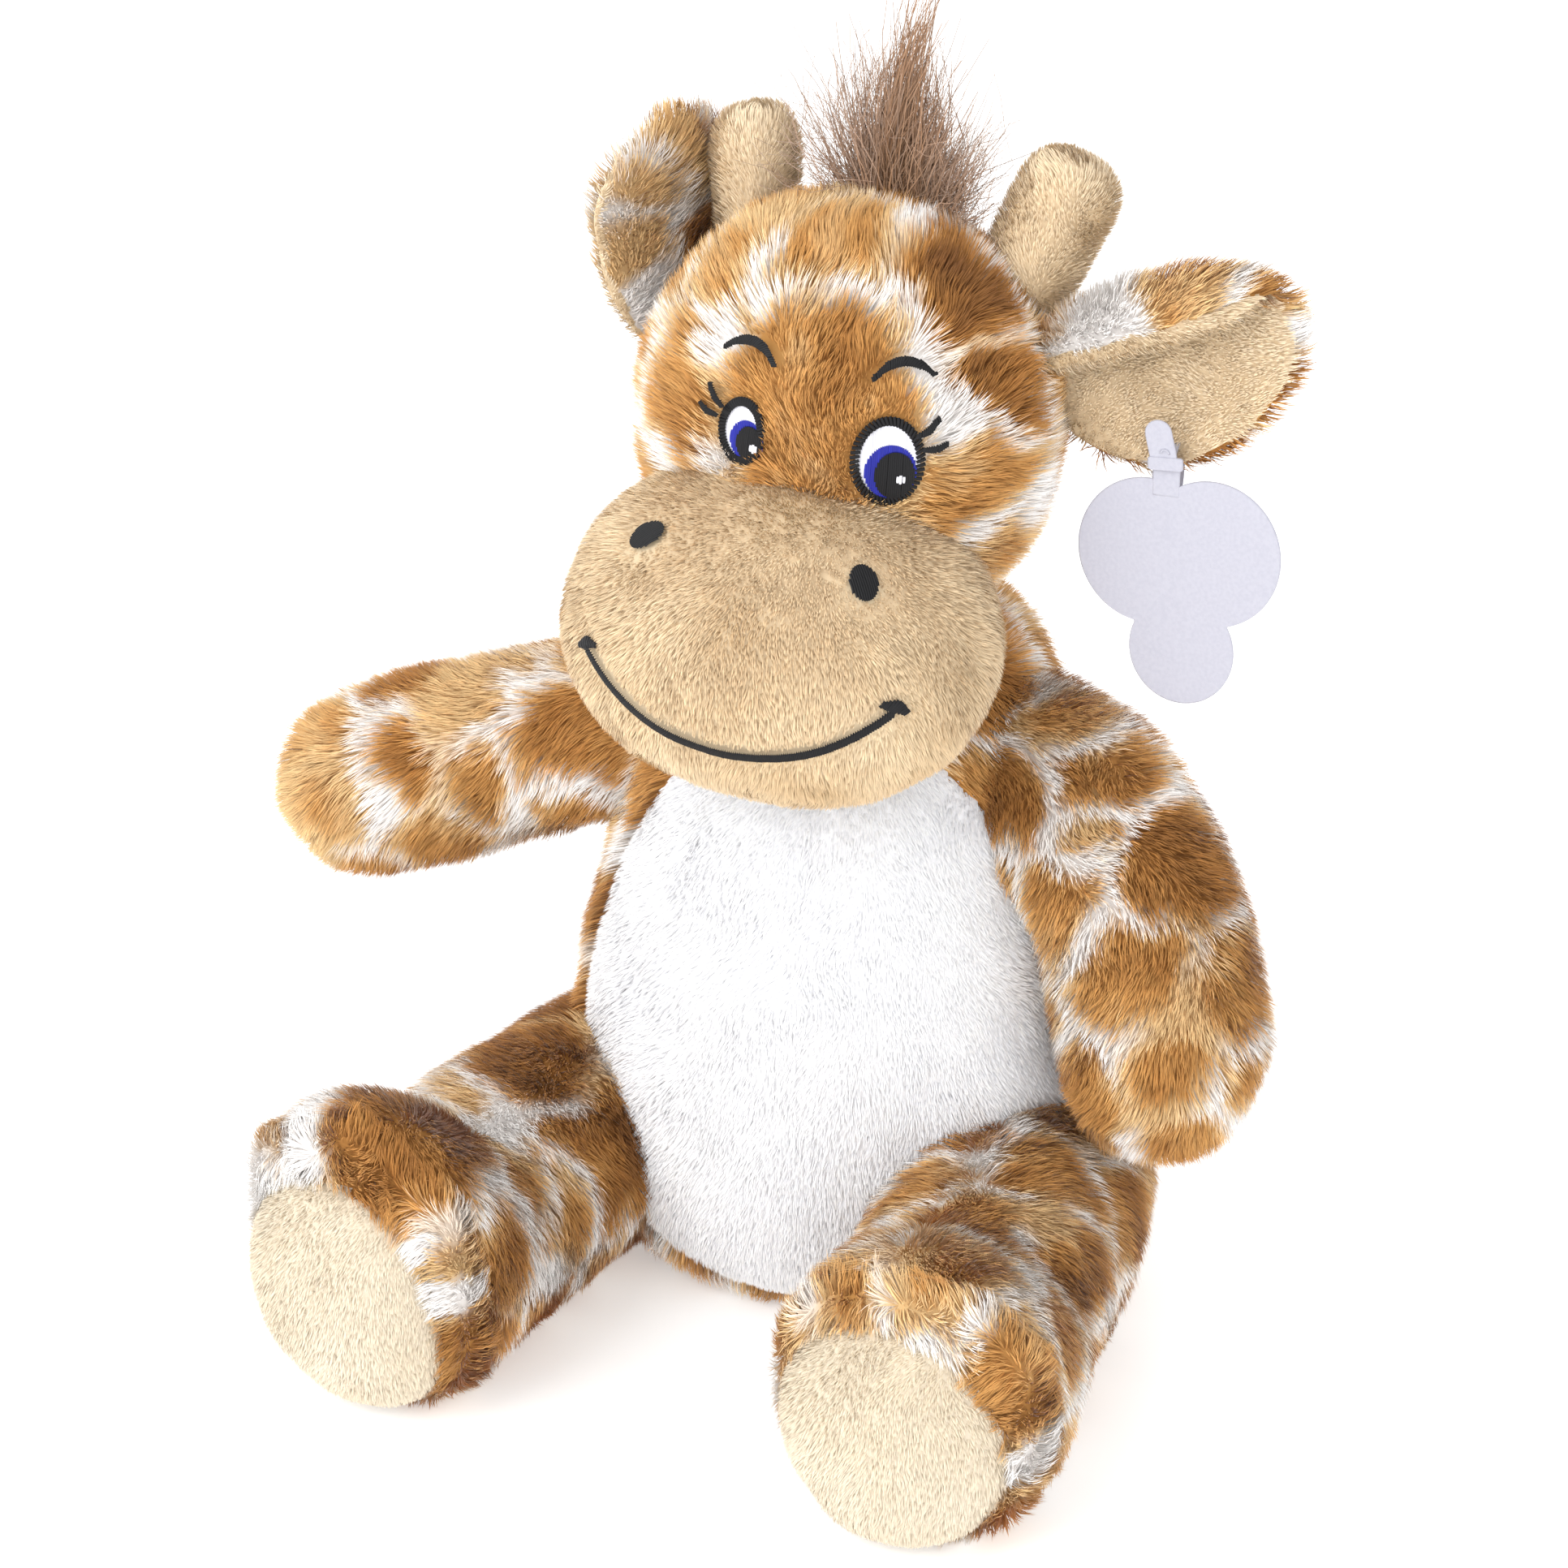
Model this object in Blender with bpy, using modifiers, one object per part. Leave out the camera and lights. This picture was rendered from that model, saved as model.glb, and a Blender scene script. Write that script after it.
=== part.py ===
"""Plush giraffe, seated: sewn fabric skins over separate stuffing, with a jointed
head, arms, legs and ears and a blank hang tag.

Metres, +Z up. The toy faces -Y and +X is its own left. The origin is on the floor,
under the middle of the seat.
"""

import math

import bmesh
import bpy
from mathutils import Matrix, Vector

# Cloth and clearances
MM = 0.001
GAP = 0.3 * MM  # clearance between neighbouring pieces
SWING_GAP = 0.8 * MM  # clearance kept along the path of a moving limb
STUFFING_GAP = 0.9 * MM  # clearance of the stuffing inside its skin
SKIN = 2.0 * MM  # fabric backing and pressed pile together
THREAD = 1.0 * MM  # how thick the stitched features stand
FLOOR_CUT = 0.5 * MM  # depth of the flats that the toy sits on
OVERRUN = 6.0 * MM  # how far a cutter reaches past what it cuts
COPY_TWIST = math.radians(0.1)  # between turned copies, so that no faces coincide

BALL_TURN = (0.31, 0.17, 0.23)  # keeps the facets of a round socket off those of its limb

# Torso
TORSO_HEIGHT = 150.0 * MM
TORSO_WIDTH = 112.0 * MM
TORSO_DEPTH = 92.0 * MM
TORSO_LEAN = 18.0 * MM  # how far the neck lies behind the seat
TORSO_SINK = 1.2 * MM  # how far its flat bottom lies below the floor before it is cut
TORSO_SEGMENTS = 10
# Height, width and depth of each ring, as shares of the torso's own sizes
TORSO_SHARES = (
    (0.00, 0.46, 0.48),
    (0.045, 0.78, 0.80),
    (0.15, 0.95, 0.96),
    (0.33, 1.00, 1.00),
    (0.52, 0.89, 0.91),
    (0.72, 0.75, 0.79),
    (0.89, 0.66, 0.69),
)
BELLY_WIDTH = 100.0 * MM
BELLY_SHIFT = 2.5 * MM  # towards the toy's left
BELLY_SHARES = (0.033, 0.867)  # bottom and top of the panel, against the torso's height
BELLY_TAPER_SHARE = 0.24  # how much narrower the panel is at its top
BELLY_POINTS = 28

# Neck: the hinge's height and setback, as shares of the torso's height
NECK_SHARES = (0.787, 0.10)
NOD_DOWN = math.radians(6.0)
NOD_BACK = math.radians(20.0)

# Head
HEAD_RISE = 34.0 * MM  # the middle of the head above the torso's top
HEAD_SETBACK = 8.0 * MM
HEAD_WIDTH = 77.0 * MM
HEAD_DEPTH = 66.0 * MM
HEAD_HEIGHT = 78.0 * MM
HEAD_TURN = math.radians(2.0)  # towards the toy's left
HEAD_TILT = math.radians(4.0)  # the top leans to the toy's left
HEAD_SEGMENTS = 10
HEAD_SHARES = (
    (0.06, 0.66, 0.66),
    (0.24, 0.94, 0.94),
    (0.46, 1.02, 1.02),
    (0.67, 0.97, 0.97),
    (0.85, 0.76, 0.76),
    (0.96, 0.44, 0.44),
)

# Muzzle: its middle, as shares of the head's width, depth and height
MUZZLE_PLACE = (-0.005, -0.47, -0.455)
MUZZLE_WIDTH = 84.0 * MM
MUZZLE_LENGTH = 66.0 * MM
MUZZLE_HEIGHT = 57.0 * MM
MUZZLE_DROOP = math.radians(40.0)
MUZZLE_TURN = math.radians(1.3)
MUZZLE_SHARES = (
    (0.05, 0.56, 0.56),
    (0.25, 0.94, 0.95),
    (0.50, 1.02, 1.01),
    (0.75, 0.92, 0.89),
    (0.93, 0.58, 0.54),
)

# Horns: distance along and width, and bases as shares of the head's sizes
HORN_LENGTH = 34.0 * MM
HORN_WIDTH = 15.5 * MM
HORN_PLACES = {"left": (0.344, 0.182, 0.244), "right": (-0.305, 0.182, 0.218)}
HORN_LEANS = {"left": math.radians(18.0), "right": math.radians(12.0)}
HORN_LEAN_BACK = math.radians(14.0)
HORN_SEGMENTS = 6
HORN_SHARES = ((0.06, 0.80), (0.30, 0.92), (0.60, 0.97), (0.82, 1.00), (0.95, 0.70))

# Mane tuft: its base as shares of the head's sizes
MANE_PLACE = (0.052, 0.182, 0.423)
MANE_LENGTH = 37.0 * MM
MANE_WIDTH = 34.0 * MM
MANE_LEAN_OUT = math.radians(6.0)
MANE_SHARES = ((0.05, 0.82), (0.30, 1.00), (0.62, 0.68), (0.90, 0.26))

# Ears: roots as shares of the head's sizes; a blade points outwards until it is turned
EAR_PLACES = {"left": (0.4675, 0.106, 0.1026), "right": (-0.474, 0.182, -0.0256)}
EAR_LENGTH = 55.0 * MM
EAR_WIDTH = 40.0 * MM
EAR_THICKNESS = 4.0 * MM
LINING_THICKNESS = 2.0 * MM
LINING_SHARE = 0.80  # size of the lining against the fur blade
EAR_CUP = 6.0 * MM  # how far the edges of the blade come forward
EAR_SEGMENTS = 8
EAR_SHARES = ((0.04, 0.42), (0.22, 0.78), (0.46, 1.00), (0.70, 0.90), (0.90, 0.52))
EAR_RISE_LEFT = math.radians(20.0)
EAR_RISE_RIGHT = math.radians(80.0)
EAR_TWIST_LEFT = math.radians(0.0)
EAR_TWIST_RIGHT = math.radians(105.0)
EAR_SWING = math.radians(15.0)

# Arms: the shoulder as shares of the torso's width, depth and height, then places
# outwards, forwards and down to the end of the paw as shares of the arm's reach
SHOULDER_SHARES = (0.3125, 0.13, 0.747)
SHOULDER_BALL = 36.0 * MM
ARM_REACH = 92.0 * MM
ARM_PATH_SHARES = {
    "left": (
        (0.174, -0.043, -0.065),
        (0.321, -0.130, -0.217),
        (0.408, -0.207, -0.402),
        (0.440, -0.272, -0.587),
        (0.451, -0.315, -0.804),
    ),
    "right": (
        (0.185, -0.033, -0.060),
        (0.380, -0.076, -0.130),
        (0.587, -0.130, -0.201),
        (0.793, -0.190, -0.277),
        (0.957, -0.239, -0.337),
    ),
}
ARM_WIDTH = 38.0 * MM
ARM_WIDTH_SHARES = {"left": (0.98, 1.00, 1.00, 0.98), "right": (0.89, 0.90, 0.92, 0.95)}
ARM_SEGMENTS = 8
ARM_RAISE_LEFT = math.radians(22.0)
ARM_RAISE_RIGHT = math.radians(10.0)
ARM_LOWER_RIGHT = math.radians(25.0)

# Legs
HIP_SHARE = 0.393  # the hip's distance from the middle, against the torso's width
HIP_BALL = 48.0 * MM
LEG_LENGTH = 95.0 * MM  # hip to the seam of the sole
LEG_WIDTH = 48.0 * MM
FOOT_HEIGHT = 55.0 * MM
THIGH_HEIGHT = 48.0 * MM
# How far each leg points outwards, at the hip and at the foot
LEG_SPLAYS = {"left": (math.radians(8.0), math.radians(2.0)),
              "right": (math.radians(17.5), math.radians(6.0))}
LEG_SEGMENTS = 8
# Distance along, width, and how far the height has grown from thigh to foot
LEG_SHARES = (
    (0.25, 1.00, 0.0),
    (0.55, 1.00, 0.3),
    (0.80, 1.06, 0.9),
    (0.96, 1.09, 1.0),
    (1.03, 0.84, 0.9),
)
SOLE_DOME = 5.5 * MM
LEG_DROP = math.radians(60.0)

# Where a ball-shaped root has its rings: distance and half width in ball radii
BALL_SHARES = ((-0.62, 0.78),)
RIM_RISE = 0.60  # how far towards the tip the rim of an opening lies
RIM_SHARE = 0.55  # its size against the next ring

# Stitched face: places as a turn to the toy's left and a rise, seen from the middle
# of the head or of the muzzle
EYE_PLACES = {"left": (math.radians(31.0), math.radians(5.0)),
              "right": (math.radians(-19.0), math.radians(7.0))}
EYE_WIDTH = 13.0 * MM
EYE_HEIGHT = 16.5 * MM
EYE_OUTLINE = 1.5 * MM
IRIS_WIDTH = 7.2 * MM
IRIS_DROP = 1.3 * MM
PUPIL_WIDTH = 4.6 * MM
BROW_PLACES = {"left": (math.radians(35.0), math.radians(31.0)),
               "right": (math.radians(-20.0), math.radians(31.0))}
BROW_WIDTH = 10.0 * MM
BROW_SAG = -3.0 * MM
LINE_WIDTH = 1.6 * MM
NOSTRIL_PLACES = {"left": (math.radians(55.0), math.radians(40.0)),
                  "right": (math.radians(-60.0), math.radians(37.5))}
NOSTRIL_WIDTH = 6.6 * MM
MOUTH_PLACE = (math.radians(0.0), math.radians(-20.0))
MOUTH_WIDTH = 59.0 * MM
MOUTH_SAG = 8.0 * MM
OUTLINE_POINTS = 16

# Hang tag: die-cut card with its own strap, looped through the ear's lower edge
TAG_PLACE_SHARES = (0.41, -0.33)  # along and across the ear's blade
TAG_LOBE = 27.0 * MM
TAG_LOW_LOBE = 20.5 * MM
TAG_STRETCH = 1.1  # how much taller than wide each lobe is
TAG_SPREAD = 12.4 * MM  # between the middles of the upper lobes
TAG_OFFSET = 3.0 * MM  # how far the lobes hang outside the strap
TAG_DROP = 20.0 * MM  # from the upper lobes' middles to the lower one's
TAG_NECK = 2.5 * MM
STRAP_WIDTH = 5.2 * MM
TAG_POINTS = 44
CARD_THICKNESS = 0.8 * MM
STRAP_WALL_SHARE = 0.85  # keeps the strap clear of the loop's and the card's faces
LOOP_FACETS = 20
LOOP_WIDTH = 13.0 * MM
LOOP_FORWARD = 1.4 * MM  # the loop sits round the rim, forward of the blade
SLOT_CLEARANCE = 1.2 * MM
SLOT_HEIGHT = 5.4 * MM
SLOT_DROP = 0.9 * MM

LEFT, RIGHT = "left", "right"
SIDES = {LEFT: 1.0, RIGHT: -1.0}

# Linear colour and roughness of each cloth or thread
LOOKS = {
    "fur": ((0.46, 0.20, 0.055), 0.95),
    "white_plush": ((0.86, 0.86, 0.90), 0.90),
    "tan_plush": ((0.60, 0.42, 0.22), 0.90),
    "cream_plush": ((0.76, 0.66, 0.47), 0.90),
    "mane_hair": ((0.30, 0.20, 0.12), 0.80),
    "stuffing": ((0.85, 0.85, 0.83), 1.00),
    "black_thread": ((0.012, 0.012, 0.016), 0.60),
    "white_thread": ((0.82, 0.82, 0.86), 0.60),
    "blue_thread": ((0.02, 0.04, 0.42), 0.55),
    "tag_card": ((0.64, 0.64, 0.68), 0.60),
}


def clear_scene():
    for obj in list(bpy.data.objects):
        bpy.data.objects.remove(obj, do_unlink=True)


def new_collection(name):
    made = bpy.data.collections.new(name)
    bpy.context.scene.collection.children.link(made)
    return made


def new_material(name, colour, roughness):
    made = bpy.data.materials.new(name)
    made.use_nodes = True
    shader = made.node_tree.nodes["Principled BSDF"]
    shader.inputs["Base Color"].default_value = (*colour, 1.0)
    shader.inputs["Roughness"].default_value = roughness
    shader.inputs["Metallic"].default_value = 0.0
    return made


clear_scene()
PARTS = new_collection("plush_giraffe")
CUTTERS = new_collection("cutters")
MATERIALS = {name: new_material(name, *look) for name, look in LOOKS.items()}


def add_object(name, mesh, material=None, parent=None):
    """A visible piece where a material is given, otherwise a cutter."""
    obj = bpy.data.objects.new(name, mesh)
    obj.parent = parent
    if material:
        PARTS.objects.link(obj)
        mesh.materials.append(MATERIALS[material])
        mesh.shade_smooth()
        mesh.set_sharp_from_angle(angle=math.radians(50))
    else:
        CUTTERS.objects.link(obj)
        obj.hide_render = True
        obj.display_type = "WIRE"
    return obj


def add_empty(name, location, rotation=(0.0, 0.0, 0.0), parent=None):
    empty = bpy.data.objects.new(name, None)
    CUTTERS.objects.link(empty)
    empty.parent = parent
    empty.location = location
    empty.rotation_euler = rotation
    return empty


def subdivide(obj):
    modifier = obj.modifiers.new("round", "SUBSURF")
    modifier.levels = modifier.render_levels = 1


def thicken(obj):
    modifier = obj.modifiers.new("skin", "SOLIDIFY")
    modifier.thickness = SKIN
    modifier.offset = -1.0


def boolean(obj, other, operation="DIFFERENCE"):
    modifier = obj.modifiers.new(other.name, "BOOLEAN")
    modifier.operation = operation
    modifier.solver = "EXACT"
    modifier.object = other


def head_place(shares):
    """A point in the head's own frame."""
    across, back, rise = shares
    return Vector((HEAD_WIDTH * across, HEAD_DEPTH * back, HEAD_HEIGHT * rise))


def shoulder(side):
    across, back, rise = SHOULDER_SHARES
    return Vector((SIDES[side] * TORSO_WIDTH * across, TORSO_DEPTH * back, TORSO_HEIGHT * rise))


def hip(side):
    return Vector((SIDES[side] * TORSO_WIDTH * HIP_SHARE, 0.0, THIGH_HEIGHT / 2 - FLOOR_CUT))


# Forms: a coarse cage of rings, rounded by subdivision


def ring_mesh(name, rings, tips, segments, is_open=False):
    """Cage of rings between two tips; each ring is a centre and two half axes.

    An open form has no tip at its first end.
    """
    bm = bmesh.new()
    count = len(rings) + 1
    bmesh.ops.create_uvsphere(bm, u_segments=segments, v_segments=count, radius=1.0)
    wider = 3.0 / (2.0 + math.cos(math.tau / segments))  # rounding draws a cage in
    first = None
    for vert in bm.verts:
        height = max(-1.0, min(1.0, vert.co.z))
        level = round((1.0 - math.acos(height) / math.pi) * count)
        if level in (0, count):
            vert.co = tips[1] if level else tips[0]
            first = first if level else vert
            continue
        turn = math.atan2(vert.co.y, vert.co.x)
        centre, side, rise = rings[level - 1]
        vert.co = centre + (side * math.cos(turn) + rise * math.sin(turn)) * wider
    if is_open:
        bmesh.ops.delete(bm, geom=[first], context="VERTS")
    bmesh.ops.recalc_face_normals(bm, faces=bm.faces)
    mesh = bpy.data.meshes.new(name)
    bm.to_mesh(mesh)
    bm.free()
    return mesh


def rimmed(rings, tip):
    """The rings with one more close to the tip: the rim of an opening there."""
    centre, side, rise = rings[0]
    rim = (tip.lerp(centre, 1.0 - RIM_RISE), side * RIM_SHARE, rise * RIM_SHARE)
    return [rim, *rings]


def upright_rings(shares, size, base, grow, lean=0.0):
    """Rings and tips of a form up its own Z, with each half axis grown by grow."""
    width, depth, height = size
    rings = []
    for rise, wide, deep in shares:
        centre = Vector((0.0, lean * rise, base - grow + (height + 2 * grow) * rise))
        side = Vector((width / 2 * wide + grow, 0.0, 0.0))
        back = Vector((0.0, depth / 2 * deep + grow, 0.0))
        rings.append((centre, side, back))
    tips = (
        Vector((0.0, 0.0, base - grow)),
        Vector((0.0, lean, base + height + grow)),
    )
    return rings, tips


def torso_mesh(name, grow=0.0, is_open=False):
    """Its opening is at the neck."""
    size = (TORSO_WIDTH, TORSO_DEPTH, TORSO_HEIGHT)
    rings, tips = upright_rings(TORSO_SHARES, size, -TORSO_SINK, grow, TORSO_LEAN)
    rings = [(centre, side, -back) for centre, side, back in reversed(rings)]
    return ring_mesh(name, rimmed(rings, tips[1]), tips[::-1], TORSO_SEGMENTS, is_open)


def head_mesh(name, grow=0.0, is_open=False):
    size = (HEAD_WIDTH, HEAD_DEPTH, HEAD_HEIGHT)
    rings, tips = upright_rings(HEAD_SHARES, size, -HEAD_HEIGHT / 2, grow)
    return ring_mesh(name, rimmed(rings, tips[0]), tips, HEAD_SEGMENTS, is_open)


def muzzle_mesh(name, grow=0.0, is_open=False):
    size = (MUZZLE_WIDTH, MUZZLE_HEIGHT, MUZZLE_LENGTH)
    rings, tips = upright_rings(MUZZLE_SHARES, size, -MUZZLE_LENGTH / 2, grow)
    return ring_mesh(name, rimmed(rings, tips[0]), tips, HEAD_SEGMENTS, is_open)


def path_rings(points, widths, heights, grow, upward):
    """Rings round a path, square to it, with their heights along upward."""
    rings = []
    last = len(points) - 1
    for index, point in enumerate(points):
        along = (points[min(index + 1, last)] - points[max(index - 1, 0)]).normalized()
        side = upward.cross(along).normalized() * (widths[index] / 2 + grow)
        rise = along.cross(side).normalized() * (heights[index] / 2 + grow)
        rings.append((point, side, rise))
    return rings


def rooted_rings(pivot, ball, points, widths, heights, grow, upward):
    """Rings of a limb: its ball-shaped root round the pivot, then the limb."""
    along = (points[0] - pivot).normalized()
    radius = ball / 2 + grow
    root = [pivot + along * radius * place for place, _ in BALL_SHARES] + [pivot]
    root_widths = [ball * share for _, share in BALL_SHARES] + [ball * 0.99]
    all_points = root + list(points)
    all_widths = root_widths + list(widths)
    all_heights = root_widths + list(heights)
    rings = path_rings(all_points, all_widths, all_heights, grow, upward)
    onward = (points[-1] - points[-2]).normalized() * grow
    for index in (-2, -1):
        centre, across, rise = rings[index]
        rings[index] = (centre + onward, across, rise)
    return rings, pivot - along * radius


def arm_mesh(name, side, grow=0.0, is_open=False):
    pivot = shoulder(side)
    path = []
    for across, ahead, down in ARM_PATH_SHARES[side]:
        path.append(pivot + Vector((SIDES[side] * across, ahead, down)) * ARM_REACH)
    widths = [ARM_WIDTH * share for share in ARM_WIDTH_SHARES[side]]
    forward = Vector((0.0, -1.0, 0.0))
    rings, root = rooted_rings(pivot, SHOULDER_BALL, path[:-1], widths, widths, grow, forward)
    end = path[-1] + (path[-1] - path[-2]).normalized() * grow
    return ring_mesh(name, rimmed(rings, root), (root, end), ARM_SEGMENTS, is_open)


def leg_place(side, share):
    """A point on the leg's middle line, level with the hip, and its heading there."""
    start, end = LEG_SPLAYS[side]
    turned = (end - start) * share
    half = start + turned / 2
    heading = SIDES[side] * (start + turned)
    reach = LEG_LENGTH * share
    offset = Vector((SIDES[side] * math.sin(half), -math.cos(half), 0.0)) * reach
    return hip(side) + offset, heading


def leg_mesh(name, side, grow=0.0, is_open=False):
    points, widths, heights = [], [], []
    for place, wide, foot in LEG_SHARES:
        height = THIGH_HEIGHT + (FOOT_HEIGHT - THIGH_HEIGHT) * foot
        middle, heading = leg_place(side, place)
        middle.z = height / 2 - FLOOR_CUT
        points.append(middle)
        widths.append(LEG_WIDTH * wide)
        heights.append(height * min(1.0, wide))
    upward = Vector((0.0, 0.0, 1.0))
    rings, root = rooted_rings(hip(side), HIP_BALL, points, widths, heights, grow, upward)
    along = Vector((math.sin(heading), -math.cos(heading), 0.0))
    end = points[-1] + along * (SOLE_DOME + grow)
    return ring_mesh(name, rimmed(rings, root), (root, end), LEG_SEGMENTS, is_open)


def tapered_mesh(name, shares, length, width, segments):
    """A stubby upright form from its base at the origin."""
    points = [Vector((0.0, 0.0, length * place)) for place, _ in shares]
    widths = [width * share for _, share in shares]
    rings = path_rings(points, widths, widths, 0.0, Vector((0.0, 1.0, 0.0)))
    tips = (Vector((0.0, 0.0, 0.0)), Vector((0.0, 0.0, length)))
    return ring_mesh(name, rings, tips, segments)


def ear_mesh(name, side, length, width, thickness, forward):
    """A cupped leaf along X, its middle line set forward of the blade's."""
    sign = SIDES[side]
    points = [Vector((sign * length * place, 0.0, 0.0)) for place, _ in EAR_SHARES]
    widths = [width * share for _, share in EAR_SHARES]
    depths = [thickness] * len(points)
    rings = path_rings(points, depths, widths, 0.0, Vector((0.0, 0.0, 1.0)))
    tips = (Vector((0.0, 0.0, 0.0)), Vector((sign * length, 0.0, 0.0)))
    mesh = ring_mesh(name, rings, tips, EAR_SEGMENTS)
    for vert in mesh.vertices:
        edge = vert.co.z / (EAR_WIDTH / 2)
        vert.co.y -= EAR_CUP * edge * edge + forward
    return mesh


# Cutters


def primitive(name, make, parent=None, **sizes):
    bm = bmesh.new()
    make(bm, **sizes)
    mesh = bpy.data.meshes.new(name)
    bm.to_mesh(mesh)
    bm.free()
    return add_object(name, mesh, parent=parent)


def ball(name, centre, radius):
    cutter = primitive(name, bmesh.ops.create_icosphere, subdivisions=3, radius=radius)
    cutter.location = centre
    cutter.rotation_euler = BALL_TURN
    return cutter


def box(name, size, location, parent=None, rotation=(0.0, 0.0, 0.0)):
    cutter = primitive(name, bmesh.ops.create_cube, parent, size=1.0)
    cutter.scale = size
    cutter.location = location
    cutter.rotation_euler = rotation
    return cutter


def floor_cutter():
    reach = 2 * (TORSO_WIDTH + LEG_LENGTH)
    return box("floor_cut", (reach, reach, TORSO_HEIGHT), (0.0, 0.0, -TORSO_HEIGHT / 2))


def prism(name, loops, depth, parent, location=(0.0, 0.0, 0.0)):
    """A solid along +Z from flat closed outlines; an inner outline is a hole."""
    curve = bpy.data.curves.new(name, "CURVE")
    curve.dimensions = "2D"
    curve.fill_mode = "BOTH"
    curve.extrude = depth / 2
    for loop in loops:
        spline = curve.splines.new("POLY")
        spline.points.add(len(loop) - 1)
        for point, (across, rise) in zip(spline.points, loop, strict=True):
            point.co = (across, rise, 0.0, 1.0)
        spline.use_cyclic_u = True
    shape = bpy.data.objects.new(name + "_outline", curve)
    CUTTERS.objects.link(shape)
    graph = bpy.context.evaluated_depsgraph_get()
    mesh = bpy.data.meshes.new_from_object(shape.evaluated_get(graph))
    bpy.data.objects.remove(shape, do_unlink=True)
    bm = bmesh.new()
    bm.from_mesh(mesh)
    bmesh.ops.remove_doubles(bm, verts=bm.verts, dist=GAP / 100)
    bmesh.ops.translate(bm, verts=bm.verts, vec=(0.0, 0.0, depth / 2))
    bmesh.ops.recalc_face_normals(bm, faces=bm.faces)
    bm.to_mesh(mesh)
    bm.free()
    cutter = add_object(name, mesh, parent=parent)
    cutter.location = location
    return cutter


def swung_cutter(name, mesh, frame, pivot, axis, angles, socket=None):
    """Everywhere that a still piece gets to, as a swinging piece sees it."""
    copies = []
    for index, angle in enumerate(angles):
        copy = add_object(f"{name}_{index}", mesh)
        twist = Matrix.Rotation(COPY_TWIST * (index + 1), 4, Vector(BALL_TURN))
        turn = Matrix.Rotation(-angle, 4, axis) @ twist
        copy.matrix_world = Matrix.Translation(pivot) @ turn @ Matrix.Translation(-pivot) @ frame
        subdivide(copy)
        copies.append(copy)
    for other in copies[1:]:
        boolean(copies[0], other, "UNION")
    if socket:
        boolean(copies[0], socket)
    return copies[0]


def cut_all(pieces, cutters):
    for piece in pieces:
        for cutter in cutters:
            boolean(piece, cutter)


# Pieces


def make_torso(sockets, floor):
    """Back and belly skins with one seam between them, over one stuffing."""
    belly_inner = prism("belly_inner", [belly_outline(-GAP / 2)], TORSO_DEPTH, None)
    belly_outer = prism("belly_outer", [belly_outline(GAP / 2)], TORSO_DEPTH, None)
    for cutter in (belly_inner, belly_outer):
        cutter.rotation_euler = (math.pi / 2, 0.0, 0.0)
        cutter.location = (BELLY_SHIFT, TORSO_LEAN / 2, 0.0)
    back = add_object("torso_back", torso_mesh("torso_back", 0.0, True), "fur")
    belly = add_object("belly_panel", torso_mesh("belly_panel", 0.0, True), "white_plush")
    stuffing_mesh = torso_mesh("torso_stuffing", -(SKIN + STUFFING_GAP))
    stuffing = add_object("torso_stuffing", stuffing_mesh, "stuffing")
    for skin in (back, belly):
        subdivide(skin)
        thicken(skin)
        boolean(skin, floor)
    subdivide(stuffing)
    boolean(back, belly_outer)
    boolean(belly, belly_inner, "INTERSECT")
    cut_all((back, belly, stuffing), sockets)
    return back, belly, stuffing


def belly_outline(grow):
    """An egg, wide below and narrow above, as seen from the front."""
    bottom, top = (TORSO_HEIGHT * share for share in BELLY_SHARES)
    middle = (top + bottom) / 2
    half = (top - bottom) / 2 + grow
    outline = []
    for index in range(BELLY_POINTS):
        turn = math.tau * (index + 0.5) / BELLY_POINTS
        wide = (BELLY_WIDTH / 2) * (1.0 - BELLY_TAPER_SHARE * math.cos(turn)) + grow
        outline.append((wide * math.sin(turn), middle + half * math.cos(turn)))
    return outline


def make_head(head_frame, muzzle_frame, torso_swing):
    head = add_object("head_skin", head_mesh("head_skin", 0.0, True), "fur", head_frame)
    muzzle_skin = muzzle_mesh("muzzle", 0.0, True)
    muzzle = add_object("muzzle", muzzle_skin, "tan_plush", muzzle_frame)
    head_cut = add_object("head_cut", head_mesh("head_cut", GAP), None, head_frame)
    muzzle_cut = add_object("muzzle_cut", muzzle_mesh("muzzle_cut", GAP), None, muzzle_frame)
    inside = -(SKIN + STUFFING_GAP)
    stuffing_mesh = head_mesh("head_stuffing", inside)
    stuffing = add_object("head_stuffing", stuffing_mesh, "stuffing", head_frame)
    muzzle_fill = add_object("muzzle_fill", muzzle_mesh("muzzle_fill", inside), None, muzzle_frame)
    for piece in (head, muzzle, head_cut, muzzle_cut, stuffing, muzzle_fill):
        subdivide(piece)
    thicken(head)
    thicken(muzzle)
    boolean(head, muzzle_cut)
    boolean(muzzle, head_cut)
    boolean(stuffing, muzzle_fill, "UNION")
    cut_all((head, muzzle, stuffing), [torso_swing])
    return head, muzzle, stuffing, head_cut, muzzle_cut


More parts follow.
